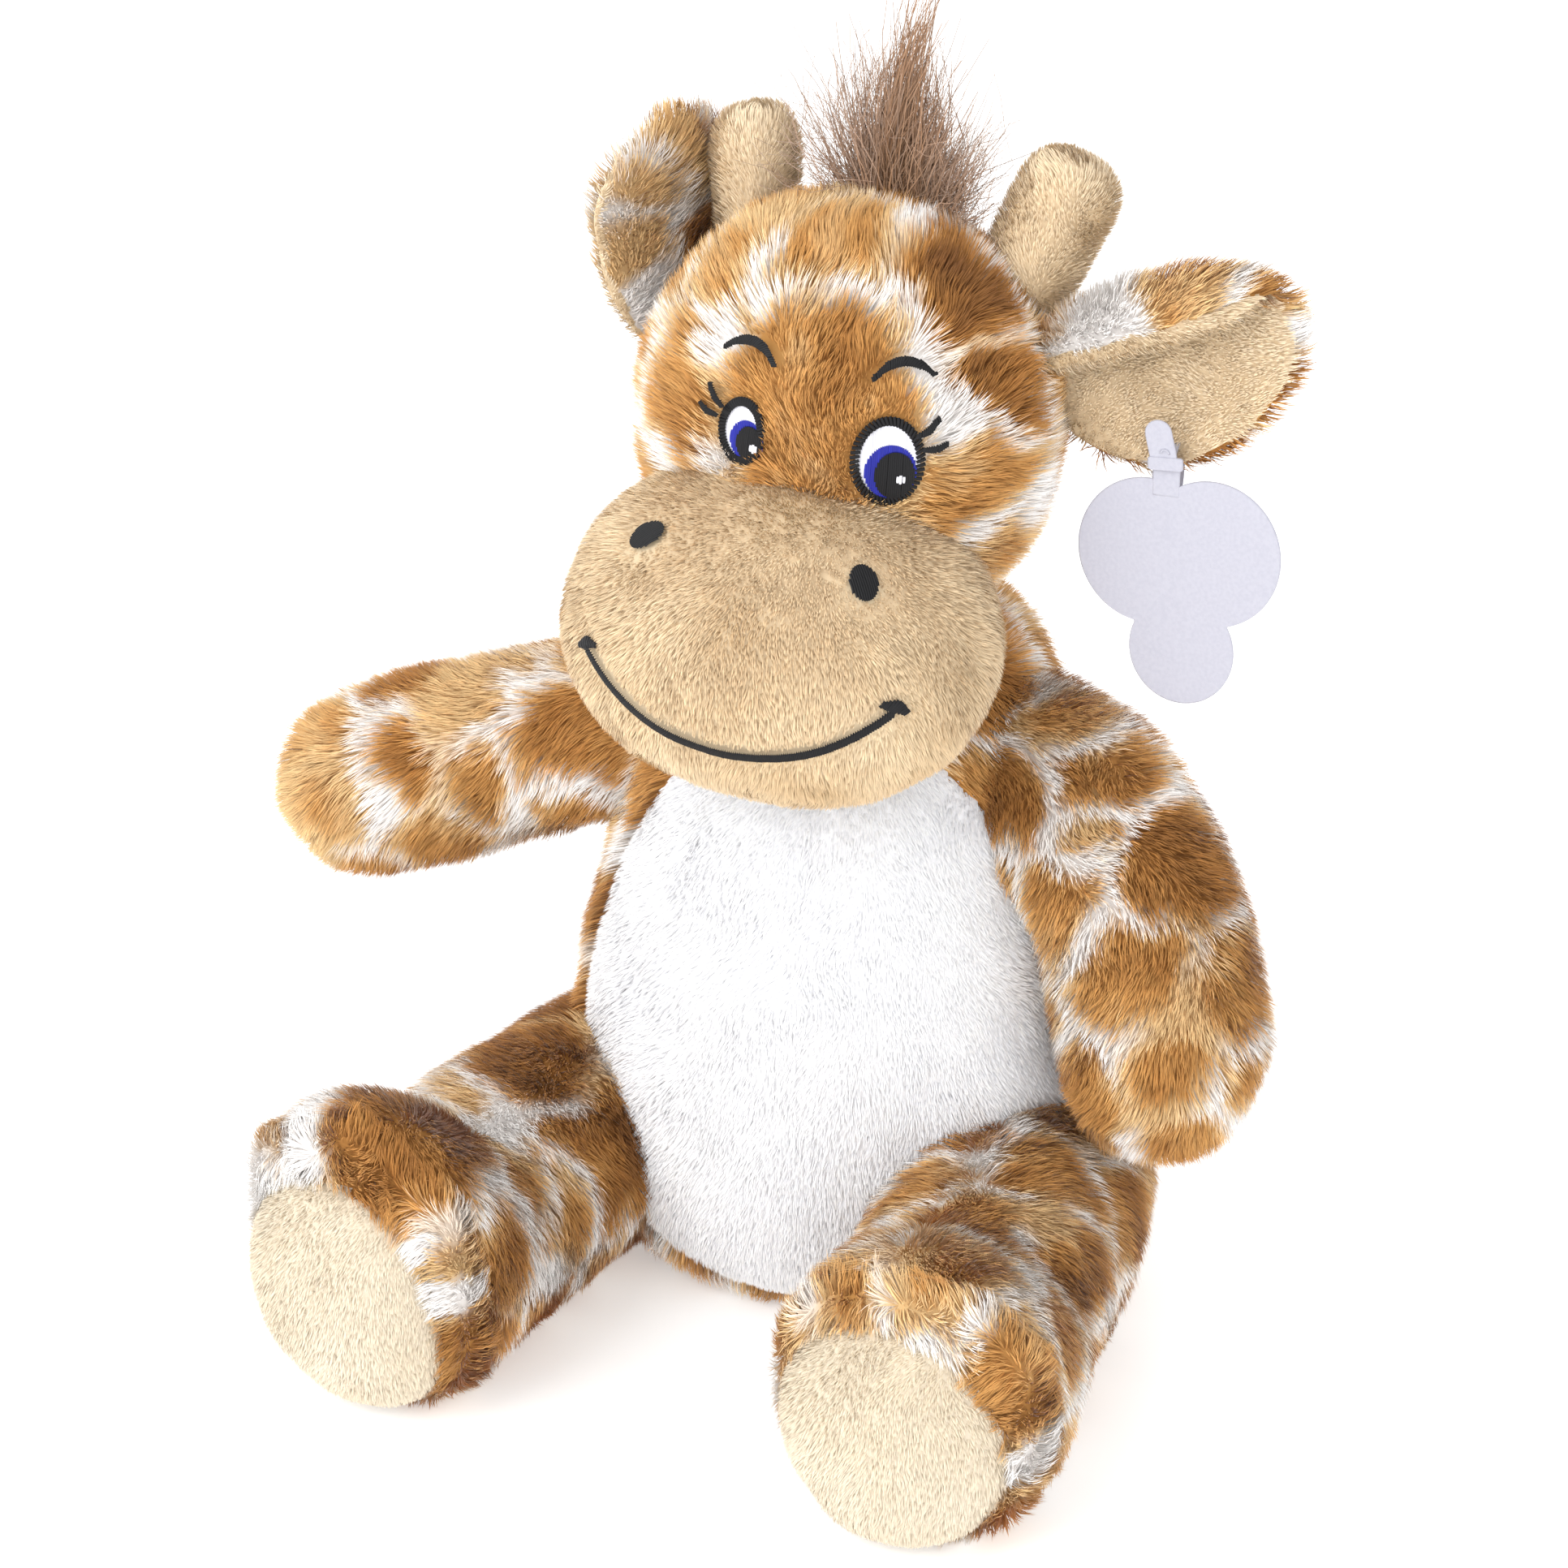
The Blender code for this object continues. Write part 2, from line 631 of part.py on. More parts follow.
def make_horns_and_mane(head_frame, head_cut):
    made = []
    for side, sign in SIDES.items():
        mesh = tapered_mesh(f"horn_{side}", HORN_SHARES, HORN_LENGTH, HORN_WIDTH, HORN_SEGMENTS)
        horn = add_object(f"horn_{side}", mesh, "tan_plush", head_frame)
        horn.location = head_place(HORN_PLACES[side])
        horn.rotation_euler = (-HORN_LEAN_BACK, sign * HORN_LEANS[side], 0.0)
        made.append(horn)
    mesh = tapered_mesh("mane_tuft", MANE_SHARES, MANE_LENGTH, MANE_WIDTH, HORN_SEGMENTS)
    mane = add_object("mane_tuft", mesh, "mane_hair", head_frame)
    mane.location = head_place(MANE_PLACE)
    mane.rotation_euler = (0.0, MANE_LEAN_OUT, 0.0)
    made.append(mane)
    for piece in made:
        subdivide(piece)
        boolean(piece, head_cut)
    return made


def make_ear(side, head_frame):
    rise = EAR_RISE_LEFT if side == LEFT else EAR_RISE_RIGHT
    twist = EAR_TWIST_LEFT if side == LEFT else EAR_TWIST_RIGHT
    sign = SIDES[side]
    rotation = (twist, -sign * rise, 0.0)
    frame = add_empty(f"ear_frame_{side}", head_place(EAR_PLACES[side]), rotation, head_frame)
    outer_mesh = ear_mesh(f"ear_outer_{side}", side, EAR_LENGTH, EAR_WIDTH, EAR_THICKNESS, 0.0)
    outer = add_object(f"ear_outer_{side}", outer_mesh, "fur", frame)
    length = EAR_LENGTH * LINING_SHARE
    width = EAR_WIDTH * LINING_SHARE
    forward = (EAR_THICKNESS + LINING_THICKNESS) / 2 + 2 * GAP
    inner_mesh = ear_mesh(f"ear_lining_{side}", side, length, width, LINING_THICKNESS, forward)
    inner = add_object(f"ear_lining_{side}", inner_mesh, "tan_plush", frame)
    for piece in (outer, inner):
        subdivide(piece)
    bpy.context.view_layer.update()
    pivot = frame.matrix_world.translation.copy()
    axis = head_frame.matrix_world.to_3x3() @ Vector((0.0, -sign, 0.0))
    still = head_mesh(f"head_still_{side}", GAP)
    angles = (-EAR_SWING, 0.0, EAR_SWING)
    swing = swung_cutter(f"ear_swing_{side}", still, head_frame.matrix_world, pivot, axis, angles)
    cut_all((outer, inner), [swing])
    return frame, outer, inner


def make_limb_skins(name, mesh_maker, side, cutters):
    """A limb's skin, open at its root, and its stuffing."""
    skin = add_object(f"{name}_{side}", mesh_maker(f"{name}_{side}", side, 0.0, True), "fur")
    inside = mesh_maker(f"{name}_{side}_stuffing", side, -(SKIN + STUFFING_GAP))
    stuffing = add_object(f"{name}_{side}_stuffing", inside, "stuffing")
    subdivide(skin)
    thicken(skin)
    subdivide(stuffing)
    cut_all((skin, stuffing), cutters)
    return skin, stuffing


def make_arm(side, torso_still):
    """Its root is rounder and smaller than the socket, so that it turns freely there."""
    pivot = shoulder(side)
    root = ball(f"arm_root_{side}", pivot, SHOULDER_BALL / 2 - GAP)
    axis = Vector((0.0, -SIDES[side], 0.0))
    low, high = (0.0, ARM_RAISE_LEFT) if side == LEFT else (-ARM_LOWER_RIGHT, ARM_RAISE_RIGHT)
    steps = 4
    angles = [low + (high - low) * step / steps for step in range(steps + 1)]
    frame = Matrix.Identity(4)
    name = f"torso_for_arm_{side}"
    swing = swung_cutter(name, torso_still, frame, pivot, axis, angles, root)
    return make_limb_skins("arm", arm_mesh, side, [swing])


def make_leg(side, torso_still, floor):
    """Leg skin, stuffing and the sole, which is the end of the same rounded form."""
    pivot = hip(side)
    root = ball(f"leg_root_{side}", pivot, HIP_BALL / 2 - GAP)
    axis = Vector((1.0, 0.0, 0.0))
    steps = 4
    angles = [LEG_DROP * step / steps for step in range(steps + 1)]
    frame = Matrix.Identity(4)
    name = f"torso_for_leg_{side}"
    swing = swung_cutter(name, torso_still, frame, pivot, axis, angles, root)
    skin, stuffing = make_limb_skins("leg", leg_mesh, side, [swing])
    boolean(skin, floor)
    sole = add_object(f"sole_{side}", leg_mesh(f"sole_{side}", side, 0.0, True), "cream_plush")
    subdivide(sole)
    thicken(sole)
    boolean(sole, floor)
    seam, turned = leg_place(side, 1.0)
    along = Vector((math.sin(turned), -math.cos(turned), 0.0))
    depth = LEG_LENGTH
    size = (2 * LEG_WIDTH, depth, 2 * FOOT_HEIGHT)
    heading = (0.0, 0.0, turned)
    front = seam + along * (depth / 2 - GAP / 2)
    behind = seam + along * (depth / 2 + GAP / 2)
    boolean(skin, box(f"sole_side_{side}", size, front, None, heading))
    boolean(sole, box(f"sole_front_{side}", size, behind, None, heading), "INTERSECT")
    return skin, stuffing, sole


def ellipse(width, height, rise=0.0):
    points = []
    for index in range(OUTLINE_POINTS):
        turn = math.tau * index / OUTLINE_POINTS
        points.append((width / 2 * math.cos(turn), rise + height / 2 * math.sin(turn)))
    return points


def curved_line(width, sag, line, steps=10):
    """A bowed line of even width, with its ends up by sag."""
    upper, lower = [], []
    for step in range(steps + 1):
        share = 2.0 * step / steps - 1.0
        across = width / 2 * share
        rise = sag * share * share
        lean = math.atan2(2.0 * sag * share, width / 2)
        offset = (-math.sin(lean) * line / 2, math.cos(lean) * line / 2)
        upper.append((across + offset[0], rise + offset[1]))
        lower.append((across - offset[0], rise - offset[1]))
    return upper + lower[::-1]


def stitched(name, material, loops, place, centre, head_frame, bands, clear_of=()):
    """A thin stitched patch that lies on a rounded form, seen from its middle."""
    turn, rise = place
    rotation = (math.pi / 2 - rise, 0.0, turn)
    aim = add_empty(f"{name}_aim", centre, rotation, head_frame)
    reach = HEAD_WIDTH
    piece = prism(name, loops, reach, aim)
    make_visible(piece, material)
    over, under = bands
    boolean(piece, over, "INTERSECT")
    boolean(piece, under)
    for other in clear_of:
        boolean(piece, other)
    return piece


def make_face(head_frame, muzzle_frame, head_cut, muzzle_cut):
    over_head = add_object("head_over", head_mesh("head_over", GAP + THREAD), None, head_frame)
    over_mesh = muzzle_mesh("muzzle_over", GAP + THREAD)
    over_muzzle = add_object("muzzle_over", over_mesh, None, muzzle_frame)
    subdivide(over_head)
    subdivide(over_muzzle)
    on_head = (over_head, head_cut)
    on_muzzle = (over_muzzle, muzzle_cut)
    centre = Vector((0.0, 0.0, 0.0))
    step = 2 * EYE_OUTLINE
    edge = 2 * GAP
    white_size = (EYE_WIDTH - step - edge, EYE_HEIGHT - step - edge)
    for side in SIDES:
        place = EYE_PLACES[side]
        rings = {
            f"eye_outline_{side}": ("black_thread", [
                ellipse(EYE_WIDTH, EYE_HEIGHT),
                ellipse(EYE_WIDTH - step, EYE_HEIGHT - step),
            ]),
            f"eye_white_{side}": ("white_thread", [
                ellipse(*white_size),
                ellipse(IRIS_WIDTH + edge, IRIS_WIDTH + edge, -IRIS_DROP),
            ]),
            f"iris_{side}": ("blue_thread", [
                ellipse(IRIS_WIDTH, IRIS_WIDTH, -IRIS_DROP),
                ellipse(PUPIL_WIDTH + edge, PUPIL_WIDTH + edge, -IRIS_DROP),
            ]),
            f"pupil_{side}": ("black_thread", [ellipse(PUPIL_WIDTH, PUPIL_WIDTH, -IRIS_DROP)]),
        }
        for name, (material, loops) in rings.items():
            stitched(name, material, loops, place, centre, head_frame, on_head, [muzzle_cut])
        brow = [curved_line(BROW_WIDTH, BROW_SAG, LINE_WIDTH)]
        stitched(f"brow_{side}", "black_thread", brow, BROW_PLACES[side], centre, head_frame, on_head)
        nostril = [ellipse(NOSTRIL_WIDTH, NOSTRIL_WIDTH)]
        stitched(f"nostril_{side}", "black_thread", nostril, NOSTRIL_PLACES[side],
                 head_place(MUZZLE_PLACE), head_frame, on_muzzle)
    mouth = [curved_line(MOUTH_WIDTH, MOUTH_SAG, LINE_WIDTH, 20)]
    stitched("mouth", "black_thread", mouth, MOUTH_PLACE, head_place(MUZZLE_PLACE), head_frame, on_muzzle)


def oval_reach(oval, origin, turn):
    """How far an oval reaches from a point inside it."""
    across, rise, half = oval
    tall = half * TAG_STRETCH
    start = ((origin[0] - across) / half, (origin[1] - rise) / tall)
    way = (math.cos(turn) / half, math.sin(turn) / tall)
    square = way[0] ** 2 + way[1] ** 2
    along = way[0] * start[0] + way[1] * start[1]
    inside = start[0] ** 2 + start[1] ** 2 - 1.0
    return (math.sqrt(along * along - square * inside) - along) / square


def tag_outline():
    """Three overlapping ovals in one outline, drawn from where all three overlap."""
    ovals = (
        (-TAG_SPREAD / 2, 0.0, TAG_LOBE / 2),
        (TAG_SPREAD / 2, 0.0, TAG_LOBE / 2),
        (0.0, -TAG_DROP, TAG_LOW_LOBE / 2),
    )
    origin = (0.0, -TAG_DROP / 2)
    outline = []
    for index in range(TAG_POINTS):
        turn = math.tau * index / TAG_POINTS
        reach = max(oval_reach(oval, origin, turn) for oval in ovals)
        outline.append((origin[0] + reach * math.cos(turn), origin[1] + reach * math.sin(turn)))
    return outline


def make_tag(ear_frame, ear_pieces):
    """The card, its strap and its loop are one die-cut piece."""
    along, across = TAG_PLACE_SHARES
    cup = EAR_CUP * (2 * across) ** 2
    place = Vector((EAR_LENGTH * along, -cup - LOOP_FORWARD, EAR_WIDTH * across))
    bpy.context.view_layer.update()
    hole = ear_frame.matrix_world @ place
    slot_size = (STRAP_WIDTH + 2 * SLOT_CLEARANCE, 4 * EAR_THICKNESS, SLOT_HEIGHT)
    slot = box("tag_slot", slot_size, place - Vector((0.0, 0.0, SLOT_DROP)), ear_frame)
    cut_all(ear_pieces, [slot])
    radius = LOOP_WIDTH / 2
    frame = add_empty("tag_frame", hole - Vector((0.0, 0.0, radius)), (0.0, 0.0, HEAD_TURN))
    wall = CARD_THICKNESS
    loop = tube_piece("hang_tag", radius, STRAP_WIDTH, frame)
    bore = tube_piece("tag_loop_bore", radius - wall, STRAP_WIDTH + 2 * OVERRUN, frame)
    middle = -(TAG_NECK + TAG_LOBE * TAG_STRETCH / 2)
    strap_wall = wall * STRAP_WALL_SHARE
    strap_size = (STRAP_WIDTH * STRAP_WALL_SHARE, strap_wall, -middle)
    front = -(radius - wall / 2)
    strap = box("tag_strap", strap_size, (0.0, front, middle / 2), frame)
    card = prism("tag_card", [tag_outline()], wall, frame, (TAG_OFFSET, front + wall / 2, middle))
    card.rotation_euler = (math.pi / 2, 0.0, 0.0)
    make_visible(loop, "tag_card")
    boolean(loop, bore)
    boolean(loop, strap, "UNION")
    boolean(loop, card, "UNION")
    return frame


def tube_piece(name, radius, length, parent):
    """A round bar along X, turned by half a facet."""
    bar = primitive(name, bmesh.ops.create_cone, parent, cap_ends=True, segments=LOOP_FACETS,
                    radius1=radius, radius2=radius, depth=length)
    bar.rotation_euler = (math.pi / LOOP_FACETS, math.pi / 2, 0.0)
    return bar


def make_visible(piece, material):
    """Turns a cutter into a piece of the toy."""
    CUTTERS.objects.unlink(piece)
    PARTS.objects.link(piece)
    piece.hide_render = False
    piece.display_type = "TEXTURED"
    piece.data.materials.append(MATERIALS[material])


def main():
    floor = floor_cutter()
    centre = (0.0, HEAD_SETBACK, TORSO_HEIGHT + HEAD_RISE)
    head_frame = add_empty("head_frame", centre, (0.0, HEAD_TILT, HEAD_TURN))
    tilt = (math.pi / 2 + MUZZLE_DROOP, MUZZLE_TURN, MUZZLE_TURN)
    muzzle_frame = add_empty("muzzle_frame", head_place(MUZZLE_PLACE), tilt, head_frame)
    shoulders = {side: ball(f"shoulder_socket_{side}", shoulder(side),
                            SHOULDER_BALL / 2 + GAP) for side in SIDES}
    hips = {side: ball(f"hip_socket_{side}", hip(side), HIP_BALL / 2 + GAP)
            for side in SIDES}
    make_torso([*shoulders.values(), *hips.values()], floor)
    torso_still = torso_mesh("torso_still", SWING_GAP)
    for side in SIDES:
        make_arm(side, torso_still)
        make_leg(side, torso_still, floor)
    bpy.context.view_layer.update()
    neck = Vector((0.0, TORSO_HEIGHT * NECK_SHARES[1], TORSO_HEIGHT * NECK_SHARES[0]))
    nods = (-NOD_BACK, -NOD_BACK / 2, 0.0, NOD_DOWN)
    axis = Vector((1.0, 0.0, 0.0))
    torso_swing = swung_cutter("torso_for_head", torso_still, Matrix.Identity(4),
                               neck, axis, nods)
    made = make_head(head_frame, muzzle_frame, torso_swing)
    head_cut, muzzle_cut = made[3], made[4]
    make_horns_and_mane(head_frame, head_cut)
    for side in SIDES:
        frame, outer, inner = make_ear(side, head_frame)
        if side == LEFT:
            make_tag(frame, (outer, inner))
    make_face(head_frame, muzzle_frame, head_cut, muzzle_cut)


main()
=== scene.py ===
"""Visual model of the plush giraffe: smooth skins under real pile, satin stitching, a
mane of loose hair and a blank paper tag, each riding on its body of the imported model.

Shapes are worked out in millimetres and written in metres.
"""

import math

import bpy
import numpy as np
from mathutils import Matrix, Vector
from mathutils.bvhtree import BVHTree
from mathutils.kdtree import KDTree

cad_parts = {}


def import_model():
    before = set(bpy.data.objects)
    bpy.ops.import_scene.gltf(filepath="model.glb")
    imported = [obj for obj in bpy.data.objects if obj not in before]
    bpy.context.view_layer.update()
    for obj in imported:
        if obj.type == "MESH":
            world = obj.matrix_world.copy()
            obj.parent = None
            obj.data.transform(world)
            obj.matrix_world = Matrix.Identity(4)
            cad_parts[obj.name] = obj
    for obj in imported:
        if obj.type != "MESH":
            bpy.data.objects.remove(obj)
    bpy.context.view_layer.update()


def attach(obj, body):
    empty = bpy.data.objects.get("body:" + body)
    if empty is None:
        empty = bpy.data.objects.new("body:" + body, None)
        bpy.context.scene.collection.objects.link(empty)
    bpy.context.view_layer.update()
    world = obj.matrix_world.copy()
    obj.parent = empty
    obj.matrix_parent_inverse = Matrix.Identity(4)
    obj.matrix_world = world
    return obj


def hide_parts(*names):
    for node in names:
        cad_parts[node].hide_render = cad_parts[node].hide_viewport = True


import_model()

rng = np.random.default_rng(11)
MM = 0.001
SIDES = {"left": 1.0, "right": -1.0}

# Sizes of the forms in millimetres. Shares are rings: how far along, how wide, how deep
TORSO = (112.0, 92.0, 150.0)
TORSO_LEAN, TORSO_SINK = 18.0, 1.2
TORSO_SHARES = (
    (0.00, 0.46, 0.48), (0.045, 0.78, 0.80), (0.15, 0.95, 0.96), (0.33, 1.00, 1.00),
    (0.52, 0.89, 0.91), (0.72, 0.75, 0.79), (0.89, 0.66, 0.69),
)
BELLY_WIDTH, BELLY_LOW, BELLY_HIGH, BELLY_TAPER, BELLY_SHIFT = 100.0, 5.0, 130.0, 0.24, 3.5
HEAD = (77.0, 66.0, 78.0)
HEAD_CENTRE = Vector((0.0, 8.0, 184.0))
TAG_HOLE = (61.64, 13.14, 176.5)
HEAD_TURN, HEAD_TILT = math.radians(2.0), math.radians(4.0)
HEAD_SHARES = (
    (0.06, 0.66, 0.66), (0.24, 0.94, 0.94), (0.46, 1.02, 1.02), (0.67, 0.97, 0.97),
    (0.85, 0.76, 0.76), (0.96, 0.44, 0.44),
)
MUZZLE = (84.0, 57.0, 66.0)
MUZZLE_PLACE = (-0.4, -31.0, -35.5)
MUZZLE_TURN, MUZZLE_DROOP = math.radians(1.3), math.radians(40.0)
HORN_LENGTH, HORN_WIDTH = 34.0, 15.5
HORN_BACK = math.radians(14.0)
HORNS = {"left": ((26.5, 12.0, 19.0), math.radians(18.0)),
         "right": ((-23.5, 12.0, 17.0), math.radians(-12.0))}
MANE_BASE = (4.0, 12.0, 33.0)
EAR_LENGTH, EAR_WIDTH, EAR_CUP = 55.0, 40.0, 6.0
EARS = {"left": ((36.0, 7.0, 8.0), math.radians(20.0), math.radians(0.0)),
        "right": ((-36.5, 12.0, -2.0), math.radians(80.0), math.radians(105.0))}
EAR_SHARES = ((0.04, 0.42), (0.22, 0.78), (0.46, 1.00), (0.70, 0.90), (0.90, 0.52))
SHOULDER, SHOULDER_BALL = (35.0, 12.0, 112.0), 36.0
ARM_PATHS = {
    "left": ((51, 8, 106), (64.5, 0, 92), (72.5, -7, 75), (75.5, -13, 58), (76.5, -17, 38)),
    "right": ((-52, 9, 106.5), (-70, 5, 100), (-89, 0, 93.5), (-108, -5.5, 86.5),
              (-123, -10, 81)),
}
ARM_WIDTHS = {"left": (37.2, 38.0, 38.0, 37.2), "right": (33.8, 34.2, 35.0, 36.1)}
HIP, HIP_BALL = (44.0, 0.0, 23.5), 48.0
LEG_LENGTH, LEG_WIDTH, FOOT_HEIGHT, THIGH_HEIGHT = 95.0, 48.0, 55.0, 48.0
LEG_SPLAYS = {"left": (math.radians(8.0), math.radians(2.0)),
              "right": (math.radians(17.5), math.radians(6.0))}
LEG_SHARES = ((0.25, 1.00, 0.0), (0.55, 1.00, 0.3), (0.80, 1.06, 0.9), (0.96, 1.09, 1.0),
              (1.03, 0.84, 0.9))
SOLE_DOME = 5.5
FLOOR_CUT = 0.5

# Patches of the printed fur: place, radius and lightness, or -1 for an open white place
PATCHES = {
    "head": (
        (4, -24, 197, 13, 0.5), (-22, -18, 190, 4, 0.5), (2, -6, 219, 6, 0.65),
        (23, -2, 213, 4, 0.1), (-16, -6, 215, 2, 0.7), (34, -3, 196, 1, 0.2),
        (31, -11, 179, 3, 0.55), (-33, -5, 167, 2, 0.75), (32, -1, 163, 2, 0.7),
        (36, 19, 178, 0, 0.6), (-11, -18, 204, -4, -1), (24, -13, 200, -5, -1),
        (27, -14, 190, -6, -1), (11, -15, 210, -8, -1), (-26, -16, 179, -7, -1),
        (36, 3, 171, -6, -1), (-8, -1, 220, -8, -1),
    ),
    "torso": (
        (33, 25, 130, 0, 0.6), (23, 31, 137, 0, 0.6), (36, 30, 111, 0, 0.3), (-47, -6, 75, 0, 0.5),
        (-44, -1, 92, 0, 0.6), (-52, -8, 49, 0, 0.5),
    ),
    "ear_right": (
        (-41, 17, 228, 4, 0.7), (-38, 24, 205, 3, 0.2), (-43, 11, 222, 1, 0.7),
        (-43, 9, 211, -1, 0.8), (-41, 14, 214, -5, -1), (-40, 10, 196, 0, -1),
    ),
    "ear_left": (
        (41, 14, 194, 2, 0.55), (66, 12, 216, 3, 0.7), (80, 16, 213, 2, 0.65),
        (80, 15, 201, 0, 0.6), (49, 12, 207, -1, -1), (75, 14, 215, -4, -1), (39, 14, 200, 0, 0.5),
    ),
    "arm_right": (
        (-106, -18, 95, 6, 0.85), (-87, -16, 100, 1, 0.35), (-79, -12, 86, 4, 0.5),
        (-73, -6, 112, 3, 0.7), (-71, -13, 101, 2, 0.45), (-55, -8, 111, 5, 0.3),
        (-55, -8, 98, 1, 0.45), (-69, 1, 117, 1, 0.7), (-67, 13, 118, 1, 0.7),
        (-89, -18, 94, -3, -1), (-78, -9, 109, -5, -1), (-60, -3, 117, -7, -1),
        (-89, -15, 81, -6, -1),
    ),
    "arm_left": (
        (39, -7, 113, 5, 0.3), (45, 5, 125, 2, 0.5), (57, -2, 118, 4, 0.35), (52, -15, 95, 4, 0.5),
        (72, -7, 106, 5, 0.3), (57, -10, 111, 1, 0.55), (71, -21, 88, 5, 0.45),
        (87, -9, 85, 4, 0.4), (63, -23, 60, 5, 0.35), (81, -25, 73, 3, 0.5),
        (91, -13, 66, 3, 0.55), (83, -22, 54, 4, 0.4), (40, -5, 96, 2, 0.5), (70, 16, 105, 2, 0.4),
        (55, -14, 72, 1, 0.5), (91, -3, 69, 1, 0.4), (58, -13, 106, -6, -1), (66, -25, 75, -7, -1),
        (81, -8, 96, -8, -1),
    ),
    "leg_right": (
        (-51, -35, 48, 5, 0.1), (-34, -41, 36, 6, 0.15), (-35, -28, 7, 3, 0.5),
        (-41, -65, 41, 1, 0.5), (-54, -84, 52, 6, 0.3), (-39, -83, 37, 3, 0.35),
        (-43, -66, 7, 5, 0.4), (-38, -41, 7, 3, 0.5), (-69, -59, 50, 4, 0.8),
        (-63, -52, 50, 1, 0.7), (-81, -78, 46, 2, 0.8), (-36, -57, 32, 2, 0.5),
        (-73, -83, 52, -2, -1), (-47, -59, 47, -4, -1), (-41, -91, 34, -4, -1),
        (-48, -93, 45, -5, -1), (-83, -85, 43, -3, -1), (-31, -41, 25, -9, -1),
        (-42, -44, 44, -9, -1), (-36, -64, 21, -6, -1),
    ),
    "leg_left": (
        (50, -61, 51, 2, 0.5), (59, -35, 46, 3, 0.45), (69, -18, 30, 5, 0.35),
        (57, -86, 53, 5, 0.7), (40, -90, 49, 3, 0.7), (70, -91, 43, 4, 0.5), (70, -47, 37, 4, 0.4),
        (69, -22, 14, 3, 0.35), (73, -54, 18, 4, 0.35), (75, -73, 16, 3, 0.5),
        (70, -83, 8, 2, 0.6), (73, -62, 16, 2, 0.4), (31, -93, 38, 2, 0.75),
        (29, -90, 17, 1, 0.75), (46, -79, 53, -6, -1), (58, -94, 49, -4, -1), (49, -46, 2, -5, -1),
        (75, -91, 23, -5, -1), (64, -38, 43, -8, -1), (66, -74, 47, -8, -1), (71, -37, 15, -8, -1),
        (27, -91, 27, -4, -1),
    ),
}


# Numbers: colour, noise and directions


def linear(red, green, blue):
    """A colour given as 0 to 255 on screen, as light."""
    shown = np.array((red, green, blue)) / 255.0
    return np.where(shown <= 0.04045, shown / 12.92, ((shown + 0.055) / 1.055) ** 2.4)


def unit(vectors):
    return vectors / np.maximum(np.linalg.norm(vectors, axis=-1, keepdims=True), 1e-9)


def flattened(vectors, normals):
    """The part of each vector that lies along the surface."""
    return vectors - (vectors * normals).sum(-1, keepdims=True) * normals


def noise(points, size, seed):
    """Smooth noise from -1 to 1, with features about size across."""
    scaled = points / size + 100.0
    cell = np.floor(scaled).astype(np.int64)
    part = scaled - cell
    part = part * part * (3.0 - 2.0 * part)
    total = np.zeros(len(points))
    for corner in np.ndindex(2, 2, 2):
        place = cell + corner
        mixed = place @ np.array((73856093, 19349663, 83492791)) + seed * 2654435761
        mixed = (mixed ^ (mixed >> 13)) * 1274126177
        value = ((mixed ^ (mixed >> 16)) & 0xFFFF) / 32767.5 - 1.0
        weight = np.prod(np.where(corner, part, 1.0 - part), axis=1)
        total += value * weight
    return total


def noise3(points, size, seed):
    return np.stack([noise(points, size, seed + step) for step in range(3)], axis=1)


def placed(points, matrix):
    turned = np.array(matrix)
    return points @ turned[:3, :3].T + turned[:3, 3]


def ramp(values, low, high):
    """From 0 to 1 between low and high, with soft ends."""
    share = np.clip((values - low) / (high - low), 0.0, 1.0)
    return share * share * (3.0 - 2.0 * share)


# Forms: cages of rings, rounded smooth


def cage(rings, tips, segments):
    """Points and faces over rings of a centre and two half axes, closed by two tips."""
    wider = 3.0 / (2.0 + math.cos(math.tau / segments))
    points = [tips[0]]
    for centre, side, rise in rings:
        for index in range(segments):
            turn = math.tau * index / segments
            points.append(centre + (side * math.cos(turn) + rise * math.sin(turn)) * wider)
    points.append(tips[1])
    faces = []
    last = len(points) - 1
    top = last - segments
    for index in range(segments):
        after = (index + 1) % segments
        faces.append((0, 1 + after, 1 + index))
        faces.append((last, top + index, top + after))
        for row in range(len(rings) - 1):
            base = 1 + row * segments
            faces.append((base + index, base + after, base + segments + after,
                          base + segments + index))
    return points, faces


